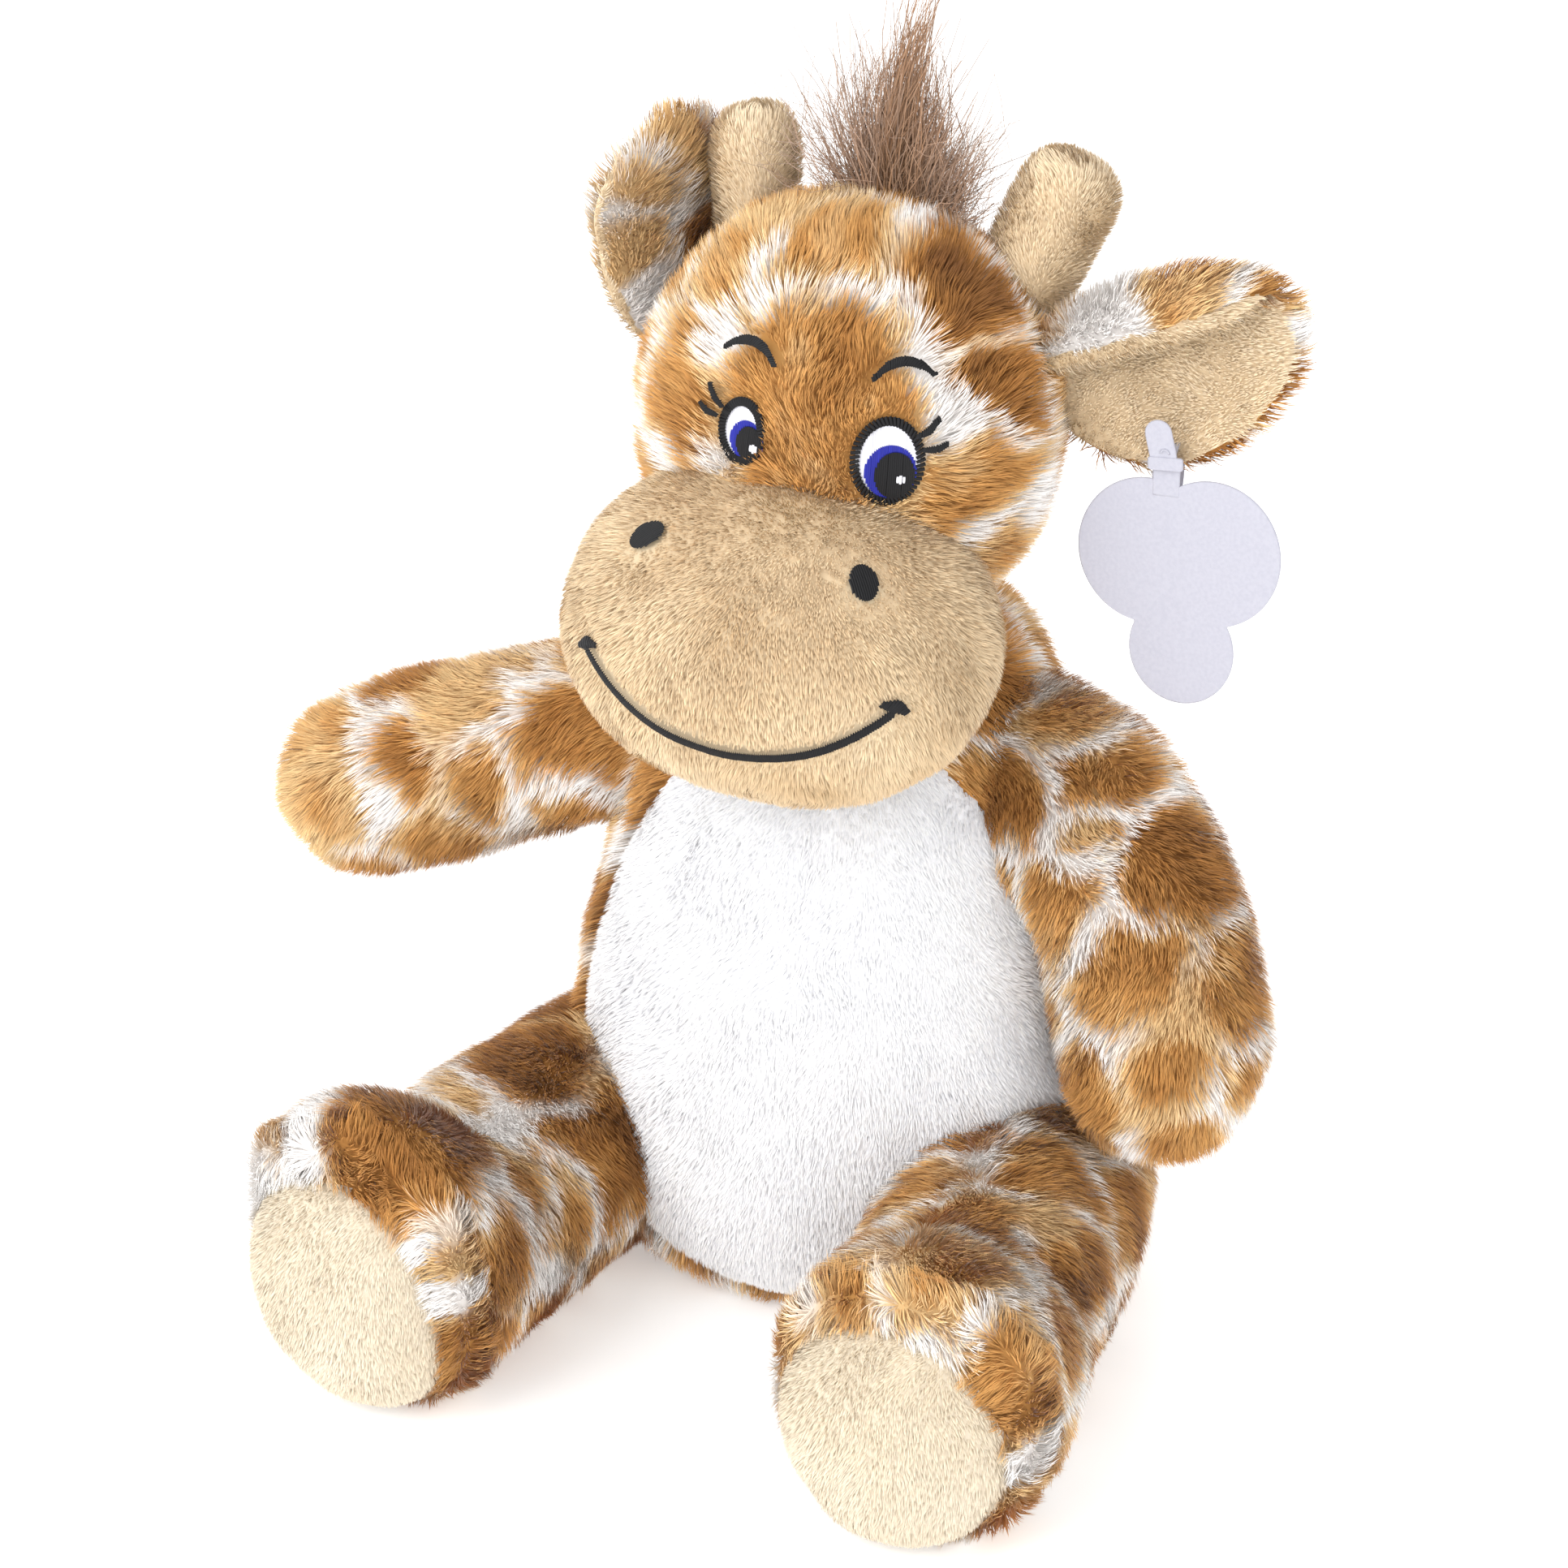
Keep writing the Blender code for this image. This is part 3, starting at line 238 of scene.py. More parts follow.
class Form:
    """A rounded closed surface in the row frame, in millimetres."""

    def __init__(self, points, faces, matrix=None, shape=None):
        mesh = bpy.data.meshes.new("cage")
        mesh.from_pydata([tuple(point) for point in points], [], faces)
        holder = bpy.data.objects.new("cage", mesh)
        bpy.context.scene.collection.objects.link(holder)
        rounding = holder.modifiers.new("round", "SUBSURF")
        rounding.levels = rounding.render_levels = 3
        graph = bpy.context.evaluated_depsgraph_get()
        smooth = bpy.data.meshes.new_from_object(holder.evaluated_get(graph))
        bpy.data.objects.remove(holder, do_unlink=True)
        bpy.data.meshes.remove(mesh)
        places = np.empty(len(smooth.vertices) * 3)
        smooth.vertices.foreach_get("co", places)
        self.faces = np.empty(len(smooth.loops), np.int32)
        smooth.loops.foreach_get("vertex_index", self.faces)
        self.faces = self.faces.reshape(-1, 4)
        bpy.data.meshes.remove(smooth)
        self.points = self.source = places.reshape(-1, 3)
        if shape:
            self.points = shape(self.points)
        if matrix:
            self.points = placed(self.points, matrix)
        self.settle()

    def settle(self):
        """Faces outwards, and the normals and the search tree of the present points."""
        quads = self.points[self.faces]
        facing = np.cross(quads[:, 2] - quads[:, 0], quads[:, 3] - quads[:, 1])
        if ((quads.mean(axis=1) - self.points.mean(axis=0)) * facing).sum() < 0:
            self.faces = self.faces[:, ::-1].copy()
            facing = -facing
        self.normals = np.zeros_like(self.points)
        for corner in range(4):
            np.add.at(self.normals, self.faces[:, corner], facing)
        self.normals = unit(self.normals)
        self.low, self.high = self.points.min(axis=0), self.points.max(axis=0)
        self.tree = BVHTree.FromPolygons(self.points.tolist(), self.faces.tolist())

    def sink(self, places):
        """How deep each place lies inside, negative outside."""
        depth = np.full(len(places), -9.0)
        near = ((places > self.low) & (places < self.high)).all(axis=1)
        for index in np.nonzero(near)[0]:
            place = Vector(places[index])
            spot, normal, _, distance = self.tree.find_nearest(place)
            depth[index] = -distance if (place - spot).dot(normal) > 0 else distance
        return depth

    def project(self, start, heading):
        """Where a ray from start along heading first meets the surface, and the normal."""
        spot, normal, _, _ = self.tree.ray_cast(Vector(start), Vector(heading))
        if spot is None:
            spot, normal, _, _ = self.tree.find_nearest(Vector(start))
        return spot, normal


def rimmed(rings, tip):
    """With one more ring, which rounds the first end."""
    centre, side, rise = rings[0]
    return [(tip.lerp(centre, 0.40), side * 0.55, rise * 0.55), *rings]


def upright(shares, size, base, lean=0.0):
    width, depth, height = size
    rings = []
    for rise, wide, deep in shares:
        centre = Vector((0.0, lean * rise, base + height * rise))
        rings.append((centre, Vector((width / 2 * wide, 0, 0)), Vector((0, depth / 2 * deep, 0))))
    return rings, (Vector((0, 0, base)), Vector((0, lean, base + height)))


def path_rings(points, widths, heights, upward):
    rings = []
    last = len(points) - 1
    for index, point in enumerate(points):
        along = (points[min(index + 1, last)] - points[max(index - 1, 0)]).normalized()
        side = upward.cross(along).normalized() * (widths[index] / 2)
        rise = along.cross(side).normalized() * (heights[index] / 2)
        rings.append((point, side, rise))
    return rings


ROOT_SHARES = ((0.62, 0.78), (0.0, 0.99))  # how far back in a limb's ball, and how wide there


def rooted(pivot, ball, points, widths, heights, upward):
    """A limb that starts as a ball about its pivot."""
    along = (points[0] - pivot).normalized()
    root = [pivot - along * ball / 2 * back for back, _ in ROOT_SHARES]
    ends = [ball * wide for _, wide in ROOT_SHARES]
    rings = path_rings(root + points, ends + widths, ends + heights, upward)
    return rings, pivot - along * ball / 2


def mirrored(place, side):
    return Vector((SIDES[side] * place[0], *place[1:]))


def place_in(parent, location, rotation):
    angles = Matrix.Rotation(rotation[2], 4, "Z") @ Matrix.Rotation(rotation[1], 4, "Y")
    turned = angles @ Matrix.Rotation(rotation[0], 4, "X")
    return parent @ Matrix.Translation(location) @ turned


HEAD_PLACE = place_in(Matrix.Identity(4), HEAD_CENTRE, (0.0, HEAD_TILT, HEAD_TURN))
EAR_MATRICES = {}


def torso_form():
    rings, tips = upright(TORSO_SHARES, TORSO, -TORSO_SINK, TORSO_LEAN)
    rings = [(centre, side, -back) for centre, side, back in reversed(rings)]
    return Form(*cage(rimmed(rings, tips[1]), tips[::-1], 10))


def ball_form(shares, size, matrix):
    rings, tips = upright(shares, size, -size[2] / 2)
    return Form(*cage(rimmed(rings, tips[0]), tips, 10), matrix)


def arm_form(side):
    path = [Vector(point) for point in ARM_PATHS[side]]
    widths = list(ARM_WIDTHS[side])
    rings, root = rooted(mirrored(SHOULDER, side), SHOULDER_BALL, path[:-1], widths, widths,
                         Vector((0, -1, 0)))
    return Form(*cage(rimmed(rings, root), (root, path[-1]), 8))


def leg_axes(heading):
    """Along a leg and across it, both level."""
    return (np.array((math.sin(heading), -math.cos(heading), 0.0)),
            np.array((math.cos(heading), math.sin(heading), 0.0)))


def leg_line(side, share):
    """A place on the leg's gently bent middle line, and where the leg heads there."""
    start, end = LEG_SPLAYS[side]
    turned = (end - start) * share
    half = start + turned / 2
    reach = LEG_LENGTH * share
    offset = Vector((SIDES[side] * math.sin(half), -math.cos(half), 0.0)) * reach
    return mirrored(HIP, side) + offset, SIDES[side] * (start + turned)


def leg_form(side):
    points, widths, heights = [], [], []
    for place, wide, foot in LEG_SHARES:
        height = THIGH_HEIGHT + (FOOT_HEIGHT - THIGH_HEIGHT) * foot
        middle, heading = leg_line(side, place)
        middle.z = height / 2 - FLOOR_CUT
        points.append(middle)
        widths.append(LEG_WIDTH * wide)
        heights.append(height * min(1.0, wide))
    rings, root = rooted(mirrored(HIP, side), HIP_BALL, points, widths, heights, Vector((0, 0, 1)))
    end = points[-1] + Vector(leg_axes(heading)[0]) * SOLE_DOME
    return Form(*cage(rimmed(rings, root), (root, end), 8))


MUZZLE_SHARES = ((0.05, 0.56, 0.56), (0.25, 0.94, 0.95), (0.50, 1.02, 1.01),
                 (0.75, 0.92, 0.89), (0.93, 0.58, 0.54))
MUZZLE_FRAME = place_in(HEAD_PLACE, MUZZLE_PLACE,
                        (math.pi / 2 + MUZZLE_DROOP, MUZZLE_TURN, MUZZLE_TURN))
HORN_SHARES = ((0.06, 0.80), (0.30, 0.92), (0.60, 0.97), (0.82, 1.00), (0.95, 0.70))
HORN_PLUMP = {"left": 1.18, "right": 1.0}
MANE_FRAME = place_in(HEAD_PLACE, MANE_BASE, (0.0, math.radians(6.0), 0.0))


def horn_form(side):
    base, lean = HORNS[side]
    matrix = place_in(HEAD_PLACE, base, (-HORN_BACK, lean, 0.0))
    points = [Vector((0.0, 0.0, HORN_LENGTH * place)) for place, _ in HORN_SHARES]
    widths = [HORN_WIDTH * share * HORN_PLUMP[side] for _, share in HORN_SHARES]
    rings = path_rings(points, widths, widths, Vector((0, 1, 0)))
    tips = (Vector((0, 0, 0)), Vector((0, 0, HORN_LENGTH)))
    return Form(*cage(rings, tips, 8), matrix, lambda p: p + noise3(p, 11.0, 5) * 0.5)


EAR_PLACES, EAR_WIDTHS = zip((0.0, 0.3), *EAR_SHARES, (1.0, 0.1))
EAR_LONG = {"left": 0.97, "right": 0.90}
EAR_LIFT = {"left": math.radians(7.5), "right": 0.0}
EAR_FLARE, EAR_THICKNESS = 0.55, 4.6
# The left ear: its upper and lower half against the plain leaf's, and where its top edge starts
# to roll, with the roll's radius, for a narrow and a wide place
EAR_UPPER, EAR_LOWER = 1.5, 1.04
ROLL_START, ROLL_RADIUS, ROLL_WIDER, ROLL_MOST = 7.6, 1.8, 4.0, 3.5


def ear_width(share):
    return np.interp(share, EAR_PLACES, EAR_WIDTHS)


def ear_form(side):
    """A cupped leaf; the top edge of the left ear rolls over to the front."""
    root, rise, twist = EARS[side]
    sign = SIDES[side]
    matrix = place_in(HEAD_PLACE, root, (twist, -sign * (rise + EAR_LIFT[side]), 0.0))
    EAR_MATRICES[side] = matrix
    points = [Vector((sign * EAR_LENGTH * place, 0.0, 0.0)) for place, _ in EAR_SHARES]
    widths = [EAR_WIDTH * share for _, share in EAR_SHARES]
    rings = path_rings(points, [EAR_THICKNESS] * len(points), widths, Vector((0, 0, 1)))
    tips = (Vector((0, 0, 0)), Vector((sign * EAR_LENGTH, 0, 0)))

    def cupped(flat):
        along, thick, rise = flat[:, 0] * EAR_LONG[side], flat[:, 1], flat[:, 2]
        share = np.abs(flat[:, 0]) / EAR_LENGTH
        wide = ear_width(share)
        cup = EAR_CUP * (rise / (EAR_WIDTH / 2)) ** 2
        if side == "right":
            rise = rise * (1 + EAR_FLARE * ramp(share, 0.5, 0.92))
            bent = np.stack([along, thick - cup, rise], axis=1)
        else:
            rise = np.where(rise > 0, rise * EAR_UPPER, rise * EAR_LOWER)
            start, radius = ROLL_START * wide, ROLL_RADIUS + ROLL_WIDER * wide
            turn = np.clip((rise - start) / radius, 0.0, ROLL_MOST)
            over = rise > start
            rolled = start + (radius + thick) * np.sin(turn)
            ahead = -radius + (radius + thick) * np.cos(turn)
            low = 1.25 * cup * (rise < 0)
            bent = np.stack([along, np.where(over, ahead, thick - low),
                             np.where(over, rolled, rise)], axis=1)
        return bent + noise3(bent, 13.0, 8) * 0.8

    return Form(*cage(rings, tips, 12), matrix, cupped)


ABOVE_FLOOR = 0.3


def plumped(form, amount, size, seed):
    """Soft uneven stuffing."""
    swell = noise(form.points, size, seed) + 0.4 * noise(form.points, size / 2.3, seed + 7)
    form.points = form.points + form.normals * (swell * amount)[:, None]
    form.points[:, 2] = np.maximum(form.points[:, 2], ABOVE_FLOOR)
    form.settle()
    return form


SOLE_SEAM, SEAM_SLANT, SEAM_SKEW, SEAM_HEIGHT = 3.5, 0.15, 0.12, 14.0


def sole_side(side):
    """How far past the sole's slanted seam each place on a foot is, in millimetres."""
    foot, heading = leg_line(side, 1.0)
    along, across = leg_axes(heading)
    start = np.array(tuple(foot))

    def past(places):
        offset = places - start
        leant = SEAM_SLANT * (places[:, 2] - SEAM_HEIGHT)
        return offset @ along + SOLE_SEAM - leant - SEAM_SKEW * (offset @ across)

    return past


FOOT_BULGES = {"left": (3.0, 2.0), "right": (8.0, 3.5)}  # raised instep, pinched ankle
# Across the sole's seam: height, place behind the seam and width of each wave of cloth
RIDGE, GROOVE, FOLDS = (2.4, 5.0, 3.6), (1.3, 0.0, 1.4), (1.0, 7.0, 7.0)
INSTEP, ANKLE, SOLE_SWELL = (13.0, 11.0), (36.0, 9.0), 5.0


def hump(past, behind, width):
    return np.exp(-((past + behind) / width) ** 2)


def footed(form, side):
    """A fuller sole, a pinched seam round it, and cloth gathered over its top."""
    past = sole_side(side)(form.points)
    along = leg_axes(leg_line(side, 1.0)[1])[0]
    top = ramp(form.points[:, 2], 22.0, 44.0)
    gathers = 1.0 + 0.9 * noise(form.points, 7.0, 17)
    ridge = RIDGE[0] * hump(past, *RIDGE[1:]) * top * gathers
    groove = GROOVE[0] * hump(past, *GROOVE[1:])
    folds = FOLDS[0] * noise(form.points, 4.5, 18) * hump(past, *FOLDS[1:])
    form.points = form.points + form.normals * (ridge + folds - groove)[:, None]
    bulge, pinch = FOOT_BULGES[side]
    lifted = bulge * hump(past, *INSTEP) - pinch * hump(past, *ANKLE)
    form.points[:, 2] += lifted * ramp(form.points[:, 2], 12.0, 44.0)
    form.points += along * (SOLE_SWELL * ramp(past, 0.0, 9.0))[:, None]
    form.points[:, 2] = np.maximum(form.points[:, 2], ABOVE_FLOOR)
    form.settle()
    return form


# Each form is plumped by an amount, with features of a size, from its own noise
FORMS = {
    "torso": plumped(torso_form(), 0.8, 34.0, 1),
    "head": plumped(ball_form(HEAD_SHARES, HEAD, HEAD_PLACE), 0.7, 26.0, 2),
    "muzzle": plumped(ball_form(MUZZLE_SHARES, MUZZLE, MUZZLE_FRAME), 0.6, 24.0, 3),
}
for side in SIDES:
    FORMS["arm_" + side] = plumped(arm_form(side), 0.9, 20.0, 4)
    FORMS["leg_" + side] = footed(plumped(leg_form(side), 1.0, 24.0, 5), side)
    FORMS["horn_" + side] = horn_form(side)
    FORMS["ear_" + side] = ear_form(side)


# Materials


def set_inputs(node, **values):
    for name, value in values.items():
        node.inputs[name.replace("_", " ")].default_value = value
    return node


def principled(name, roughness, sheen=0.0, colour=None, attribute=False):
    made = bpy.data.materials.new(name)
    made.use_nodes = True
    tree = made.node_tree
    shader = set_inputs(tree.nodes["Principled BSDF"], Roughness=roughness, Sheen_Weight=sheen,
                        Sheen_Roughness=0.4, Specular_IOR_Level=0.25)
    if colour is not None:
        set_inputs(shader, Base_Color=(*colour, 1.0))
    if attribute:
        reader = tree.nodes.new("ShaderNodeAttribute")
        reader.attribute_name = "tint"
        tree.links.new(reader.outputs["Color"], shader.inputs["Base Color"])
    return made


def noisy(material, scale, strength, low, high):
    """Colour varied by noise between two shades, with a matching bump."""
    tree = material.node_tree
    shader = tree.nodes["Principled BSDF"]
    where, cloud, mix, bump = (tree.nodes.new("ShaderNode" + kind)
                               for kind in ("TexCoord", "TexNoise", "ValToRGB", "Bump"))
    set_inputs(cloud, Scale=scale, Detail=4.0)
    set_inputs(bump, Strength=strength, Distance=0.0004)
    for element, position, colour in zip(mix.color_ramp.elements, (0.35, 0.65), (low, high)):
        element.position, element.color = position, (*colour, 1.0)
    for start, output, end, name in (
            (where, "Object", cloud, "Vector"), (cloud, "Fac", mix, "Fac"),
            (mix, "Color", shader, "Base Color"), (cloud, "Fac", bump, "Height"),
            (bump, "Normal", shader, "Normal")):
        tree.links.new(start.outputs[output], end.inputs[name])
    return material


PILE = principled("plush_pile", 0.85, 0.25, attribute=True)
SHORT_PILE = principled("short_pile", 0.9, 0.3, attribute=True)
BACKING = principled("pile_backing", 0.95, attribute=True)
THREAD = principled("satin_thread", 0.45, 0.1, attribute=True)
HAIR = principled("mane_hair", 0.6, 0.1, attribute=True)
CARD = noisy(principled("tag_card", 0.55), 1400.0, 0.10,
             linear(178, 178, 190), linear(184, 184, 195))

WHITE_FUR = linear(250, 246, 243)
SHADES = np.array([linear(126, 82, 42), linear(174, 119, 60), linear(206, 153, 88),
                   linear(228, 193, 140)])  # brown patches, deepest to palest
TAN, TAN_PALE, TAN_DEEP = linear(238, 216, 181), linear(243, 224, 194), linear(214, 184, 142)
CREAM, CREAM_DEEP = linear(239, 227, 206), linear(232, 217, 191)
SNOW, SNOW_DEEP = linear(253, 253, 255), linear(248, 249, 253)
# Painted shade: the cloth under the pile is darker, as if shaded by the pile
FUR_CLOTH_SHADE = 0.8  # how much darker the cloth is than the fur on it
# Plush in one colour: slot, light and deep pile, and the cloth under it, darkened by painted shade
BELLY_PLUSH = ("white_plush", SNOW, SNOW_DEEP, SNOW * 0.9)
MUZZLE_PLUSH = ("tan_plush", TAN, TAN_DEEP, TAN * 0.85)
SMOOTH_PLUSH = ("tan_plush", TAN_PALE, TAN, TAN * 0.85)
SOLE_PLUSH = ("cream_plush", CREAM, CREAM_DEEP, CREAM * 0.9)


# Meshes


def new_object(name, mesh, material, body, slot_name):
    mesh.materials.append(material)
    made = bpy.data.objects.new(name, mesh)
    bpy.context.scene.collection.objects.link(made)
    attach(made, body)
    return made


def build_mesh(name, points, corners, sizes, tints=None, normals=None, uvs=None):
    """A mesh from arrays: corner indices face by face, and how many corners each face has."""
    mesh = bpy.data.meshes.new(name)
    mesh.vertices.add(len(points))
    mesh.vertices.foreach_set("co", (points * MM).astype(np.float32).ravel())
    mesh.loops.add(len(corners))
    mesh.loops.foreach_set("vertex_index", corners.astype(np.int32))
    mesh.polygons.add(len(sizes))
    starts = np.concatenate([[0], np.cumsum(sizes)[:-1]]).astype(np.int32)
    mesh.polygons.foreach_set("loop_start", starts)
    mesh.update(calc_edges=True)
    if tints is not None:
        layer = mesh.attributes.new("tint", "FLOAT_COLOR", "POINT")
        full = np.ones((len(points), 4), np.float32)
        full[:, :3] = np.clip(tints, 0.0, 1.0)
        layer.data.foreach_set("color", full.ravel())
    if uvs is not None:
        layer = mesh.uv_layers.new(name="OFBake")
        layer.uv.foreach_set("vector", uvs.astype(np.float32).ravel())
    mesh.shade_smooth()
    if normals is not None:
        mesh.normals_split_custom_set_from_vertices(normals.astype(np.float32))
    return mesh


MOST_BLADES = 62000  # in one piece; a larger cloth's pile is laid as bands, one above the other
BLADE_ROLL, BLADE_NARROWING = 0.7, 0.8  # most turn about its own length, and width half way up
LOWEST = 0.05  # no pile reaches below the floor
# Where a blade's five points lie in its own square of the colour map: the quad, then the tip
BLADE_MAP = np.array([(0.1, 0.1), (0.9, 0.1), (0.9, 0.55), (0.1, 0.55), (0.1, 0.55), (0.9, 0.55),
                      (0.5, 0.95)])


def blades(name, roots, normals, reach, widths, bend, tints, look):
    """Thin curved blades of pile: a quad and a tip each, every one with its own square of
    the colour map, so that neighbours in the map are neighbours on the cloth."""
    count = len(roots)
    if count > MOST_BLADES:
        parts = np.array_split(np.argsort(roots[:, 2]), math.ceil(count / MOST_BLADES))
        for number, part in enumerate(parts, 1):
            blades(f"{name}_{number}", roots[part], normals[part], reach[part], widths[part], bend,
                   tints[part], look)
        return
    length = np.linalg.norm(reach, axis=1, keepdims=True)
    ahead = reach / length
    across = unit(np.cross(ahead, normals))
    roll = rng.uniform(-BLADE_ROLL, BLADE_ROLL, count)[:, None]
    across = across * np.cos(roll) + np.cross(ahead, across) * np.sin(roll)
    half = across * widths[:, None] / 2
    middle = roots + reach * 0.5 + normals * length * bend
    narrow = half * BLADE_NARROWING
    points = np.stack([roots - half, roots + half, middle + narrow, middle - narrow,
                       roots + reach], axis=1)
    points[:, :, 2] = np.maximum(points[:, :, 2], LOWEST)
    corners = (np.arange(count)[:, None] * 5 + np.array([0, 1, 2, 3, 3, 2, 4])).ravel()
    facing = np.cross(half, reach)
    facing *= np.sign((facing * normals).sum(1, keepdims=True))
    shading = unit(normals * 0.75 + unit(facing) * 0.45 + rng.normal(0, 0.12, (count, 3)))
    columns = max(1, math.ceil(math.sqrt(count)))
    order = np.argsort(roots[:, 2])
    cells = np.empty((count, 2))
    for row, start in enumerate(range(0, count, columns)):
        band = order[start:start + columns]
        turn = np.argsort(np.arctan2(roots[band, 1] - roots[:, 1].mean(),
                                     roots[band, 0] - roots[:, 0].mean()))
        cells[band[turn]] = np.stack([np.arange(len(band)), np.full(len(band), row)], axis=1)
    uvs = (cells[:, None, :] + BLADE_MAP) / columns
    mesh = build_mesh(name, points.reshape(-1, 3), corners, np.tile([4, 3], count),
                      tints.reshape(-1, 3), np.repeat(shading, 5, axis=0), uvs.reshape(-1, 2))
    new_object(name, mesh, *look)


# Where pile is kept off the stitched face


ORIGINS = {"head": (0.0, 0.0, 0.0), "muzzle": MUZZLE_PLACE}
# Features: turn to the side and rise, as seen from the middle of their form
EYES = {"left": (math.radians(31.0), math.radians(5.0)),
        "right": (math.radians(-19.0), math.radians(7.0))}
BROWS = {"left": (math.radians(35.0), math.radians(31.0)),
         "right": (math.radians(-20.0), math.radians(31.0))}
NOSTRILS = {"left": (math.radians(55.0), math.radians(40.0)),
            "right": (math.radians(-60.0), math.radians(37.5))}
MOUTH = (0.0, math.radians(-20.0))
EYE_SIZES = {"left": (13.0, 16.5), "right": (9.4, 12.4)}
NOSTRIL, LINE_BAND = (5.0, 7.0), 1.7
PUPIL_SHIFTS = {"left": 1.3, "right": 2.0}
BROW_ARCH, MOUTH_ARCH = (2.6, 5.2, 0.0), (-8.0, 29.5, 7.2)  # height, half width and lift
FAR = 99.0  # a gap where no stitched shape is near


def aim_at(form_name, turn, rise):
    """The flat frame of a pattern that is dropped onto the head or the muzzle."""
    return place_in(HEAD_PLACE, ORIGINS[form_name], (math.pi / 2 - rise, 0.0, turn))


def face_marks():
    """Each feature's form, flat frame, half sizes and arch."""
    marks = [("muzzle", MOUTH, MOUTH_ARCH[1] + 1.0, 1.3, MOUTH_ARCH)]
    for side in SIDES:
        wide, tall = EYE_SIZES[side]
        marks += [("head", EYES[side], wide / 2 + 0.2, tall / 2 + 0.2, None),
                  ("head", BROWS[side], 5.8, 1.5, BROW_ARCH),
                  ("muzzle", NOSTRILS[side], 2.6, 3.2, None)]
    return [(name, np.array(aim_at(name, *aim).inverted()), wide, tall, arch)
            for name, aim, wide, tall, arch in marks]


MARKS = face_marks()


def face_gap(places, form_name):
    """How far each place is outside the nearest shape stitched on that form."""
    gap = np.full(len(places), FAR)
    for name, matrix, wide, tall, arch in MARKS:
        if name != form_name:
            continue
        across, rise, depth = (places @ matrix[:3, :3].T + matrix[:3, 3]).T
        if arch:
            height, end, lift = arch
            line = lift + height * (1 - (across / end) ** 2)
            outside = np.maximum(np.abs(across) - wide, np.abs(rise - line) - tall)
        else:
            outside = (np.hypot(across / wide, rise / tall) - 1) * min(wide, tall)
        gap = np.minimum(gap, np.where(depth > 10.0, outside, FAR))
    return gap


def beside_face(places, form_name):
    """Pile is clipped short beside the stitches."""
    return 0.42 + 0.58 * ramp(face_gap(places, form_name), 0.0, 4.5)


# Pile


BODIES = {"muzzle": "head", "horn_left": "head", "horn_right": "head"}  # else a form's own name
JUST_INSIDE = 0.6  # how deep in another form pile still starts
NO_FORMS, IN_HEAD, IN_MUZZLE = {}, {"head": JUST_INSIDE}, {"muzzle": JUST_INSIDE}
LONG_LIFT, SHORT_LIFT, SHORT_LAY = 0.74, 0.8, 0.62
LONG_TUFTS, SHORT_TUFTS = (1.7, 0.36), (1.3, 0.35)  # spacing and pull
LONG_WIDTHS, SHORT_WIDTHS = (0.17, 0.29), (0.18, 0.29)
LONG_BEND, SHORT_BEND, STRAY = 0.12, 0.08, 0.36
# Painted shade: each blade's foot is darkened as if shaded deep in the pile
LONG_ROOT_SHADE, SHORT_ROOT_SHADE = (0.80, 0.72, 0.64), (0.88, 0.86, 0.82)  # how dark the blades' feet are
# Blades on a square millimetre, then the size and amount of noise in a blade's heading, coarse
# and fine, in its lift and in its length
LONG_WAVES = (4.3, (15.0, 0.60), (6.0, 0.55), (6.0, 0.16), (8.0, 0.14))
SHORT_WAVES = (6.4, (11.0, 0.60), (3.5, 0.28), (4.0, 0.20), (5.0, 0.15))
PATCH_GAP = 13.5  # between the patches on the hidden sides


def scatter(form_name, density, keep, others, flat):
    """Random roots on a form and the surface normals there. Roots that lie more than the
    given depth inside another form are left out."""
    form = FORMS[form_name]
    tris = np.concatenate([form.faces[:, :3], form.faces[:, [0, 2, 3]]])
    a, b, c = (form.points[tris[:, corner]] for corner in range(3))
    areas = np.linalg.norm(np.cross(b - a, c - a), axis=1) / 2
    count = int(areas.sum() * density)
    pick = rng.choice(len(tris), count, p=areas / areas.sum())
    share = rng.random((count, 2))
    share = np.where(share.sum(1, keepdims=True) > 1, 1 - share, share)
    weights = np.stack([1 - share.sum(1), share[:, 0], share[:, 1]], axis=1)[:, :, None]
    places = (form.points[tris[pick]] * weights).sum(1)
    normals = unit((form.normals[tris[pick]] * weights).sum(1))
    chosen = keep((form.source[tris[pick]] * weights).sum(1) if flat else places)
    chosen = chosen & (face_gap(places, form_name) > 0)
    places, normals = places[chosen], normals[chosen]
    for other, deepest in others.items():
        outside = FORMS[other].sink(places) < deepest
        places, normals = places[outside], normals[outside]
    return places, normals


def combed(form_name, comb, keep, others, flat, length, lift, waves):
    """Roots on a form with the normal, lay, lift and length of the blade on each."""
    density, coarse, fine, steep, long = waves
    roots, normals = scatter(form_name, density, keep, others, flat)
    heading = unit(comb(roots))
    for (size, amount), seed in ((coarse, 61), (fine, 71)):
        heading = heading + noise3(roots, size, seed) * amount
    lay = unit(flattened(heading, normals))
    lifts = lift + noise(roots, steep[0], 81) * steep[1]
    lengths = length * (1 + noise(roots, long[0], 91) * long[1] + rng.normal(0, 0.1, len(roots)))
    return roots, normals, lay, lifts, lengths * beside_face(roots, form_name)


def clumped(roots, tips, spacing, pull):
    """Tips drawn together in tufts about spacing apart."""
    count = max(1, int(len(roots) / (spacing * spacing * 2.6)))
    leaders = rng.choice(len(roots), count, replace=False)
    tree = KDTree(count)
    for index, leader in enumerate(leaders):
        tree.insert(Vector(roots[leader]), index)
    tree.balance()
    nearest = np.array([tree.find(Vector(root))[1] for root in roots])
    leader = leaders[nearest]
    strength = (pull * rng.uniform(0.5, 1.2, len(roots)))[:, None]
    return tips + (tips[leader] - roots[leader] + roots[leader] - tips) * strength, nearest


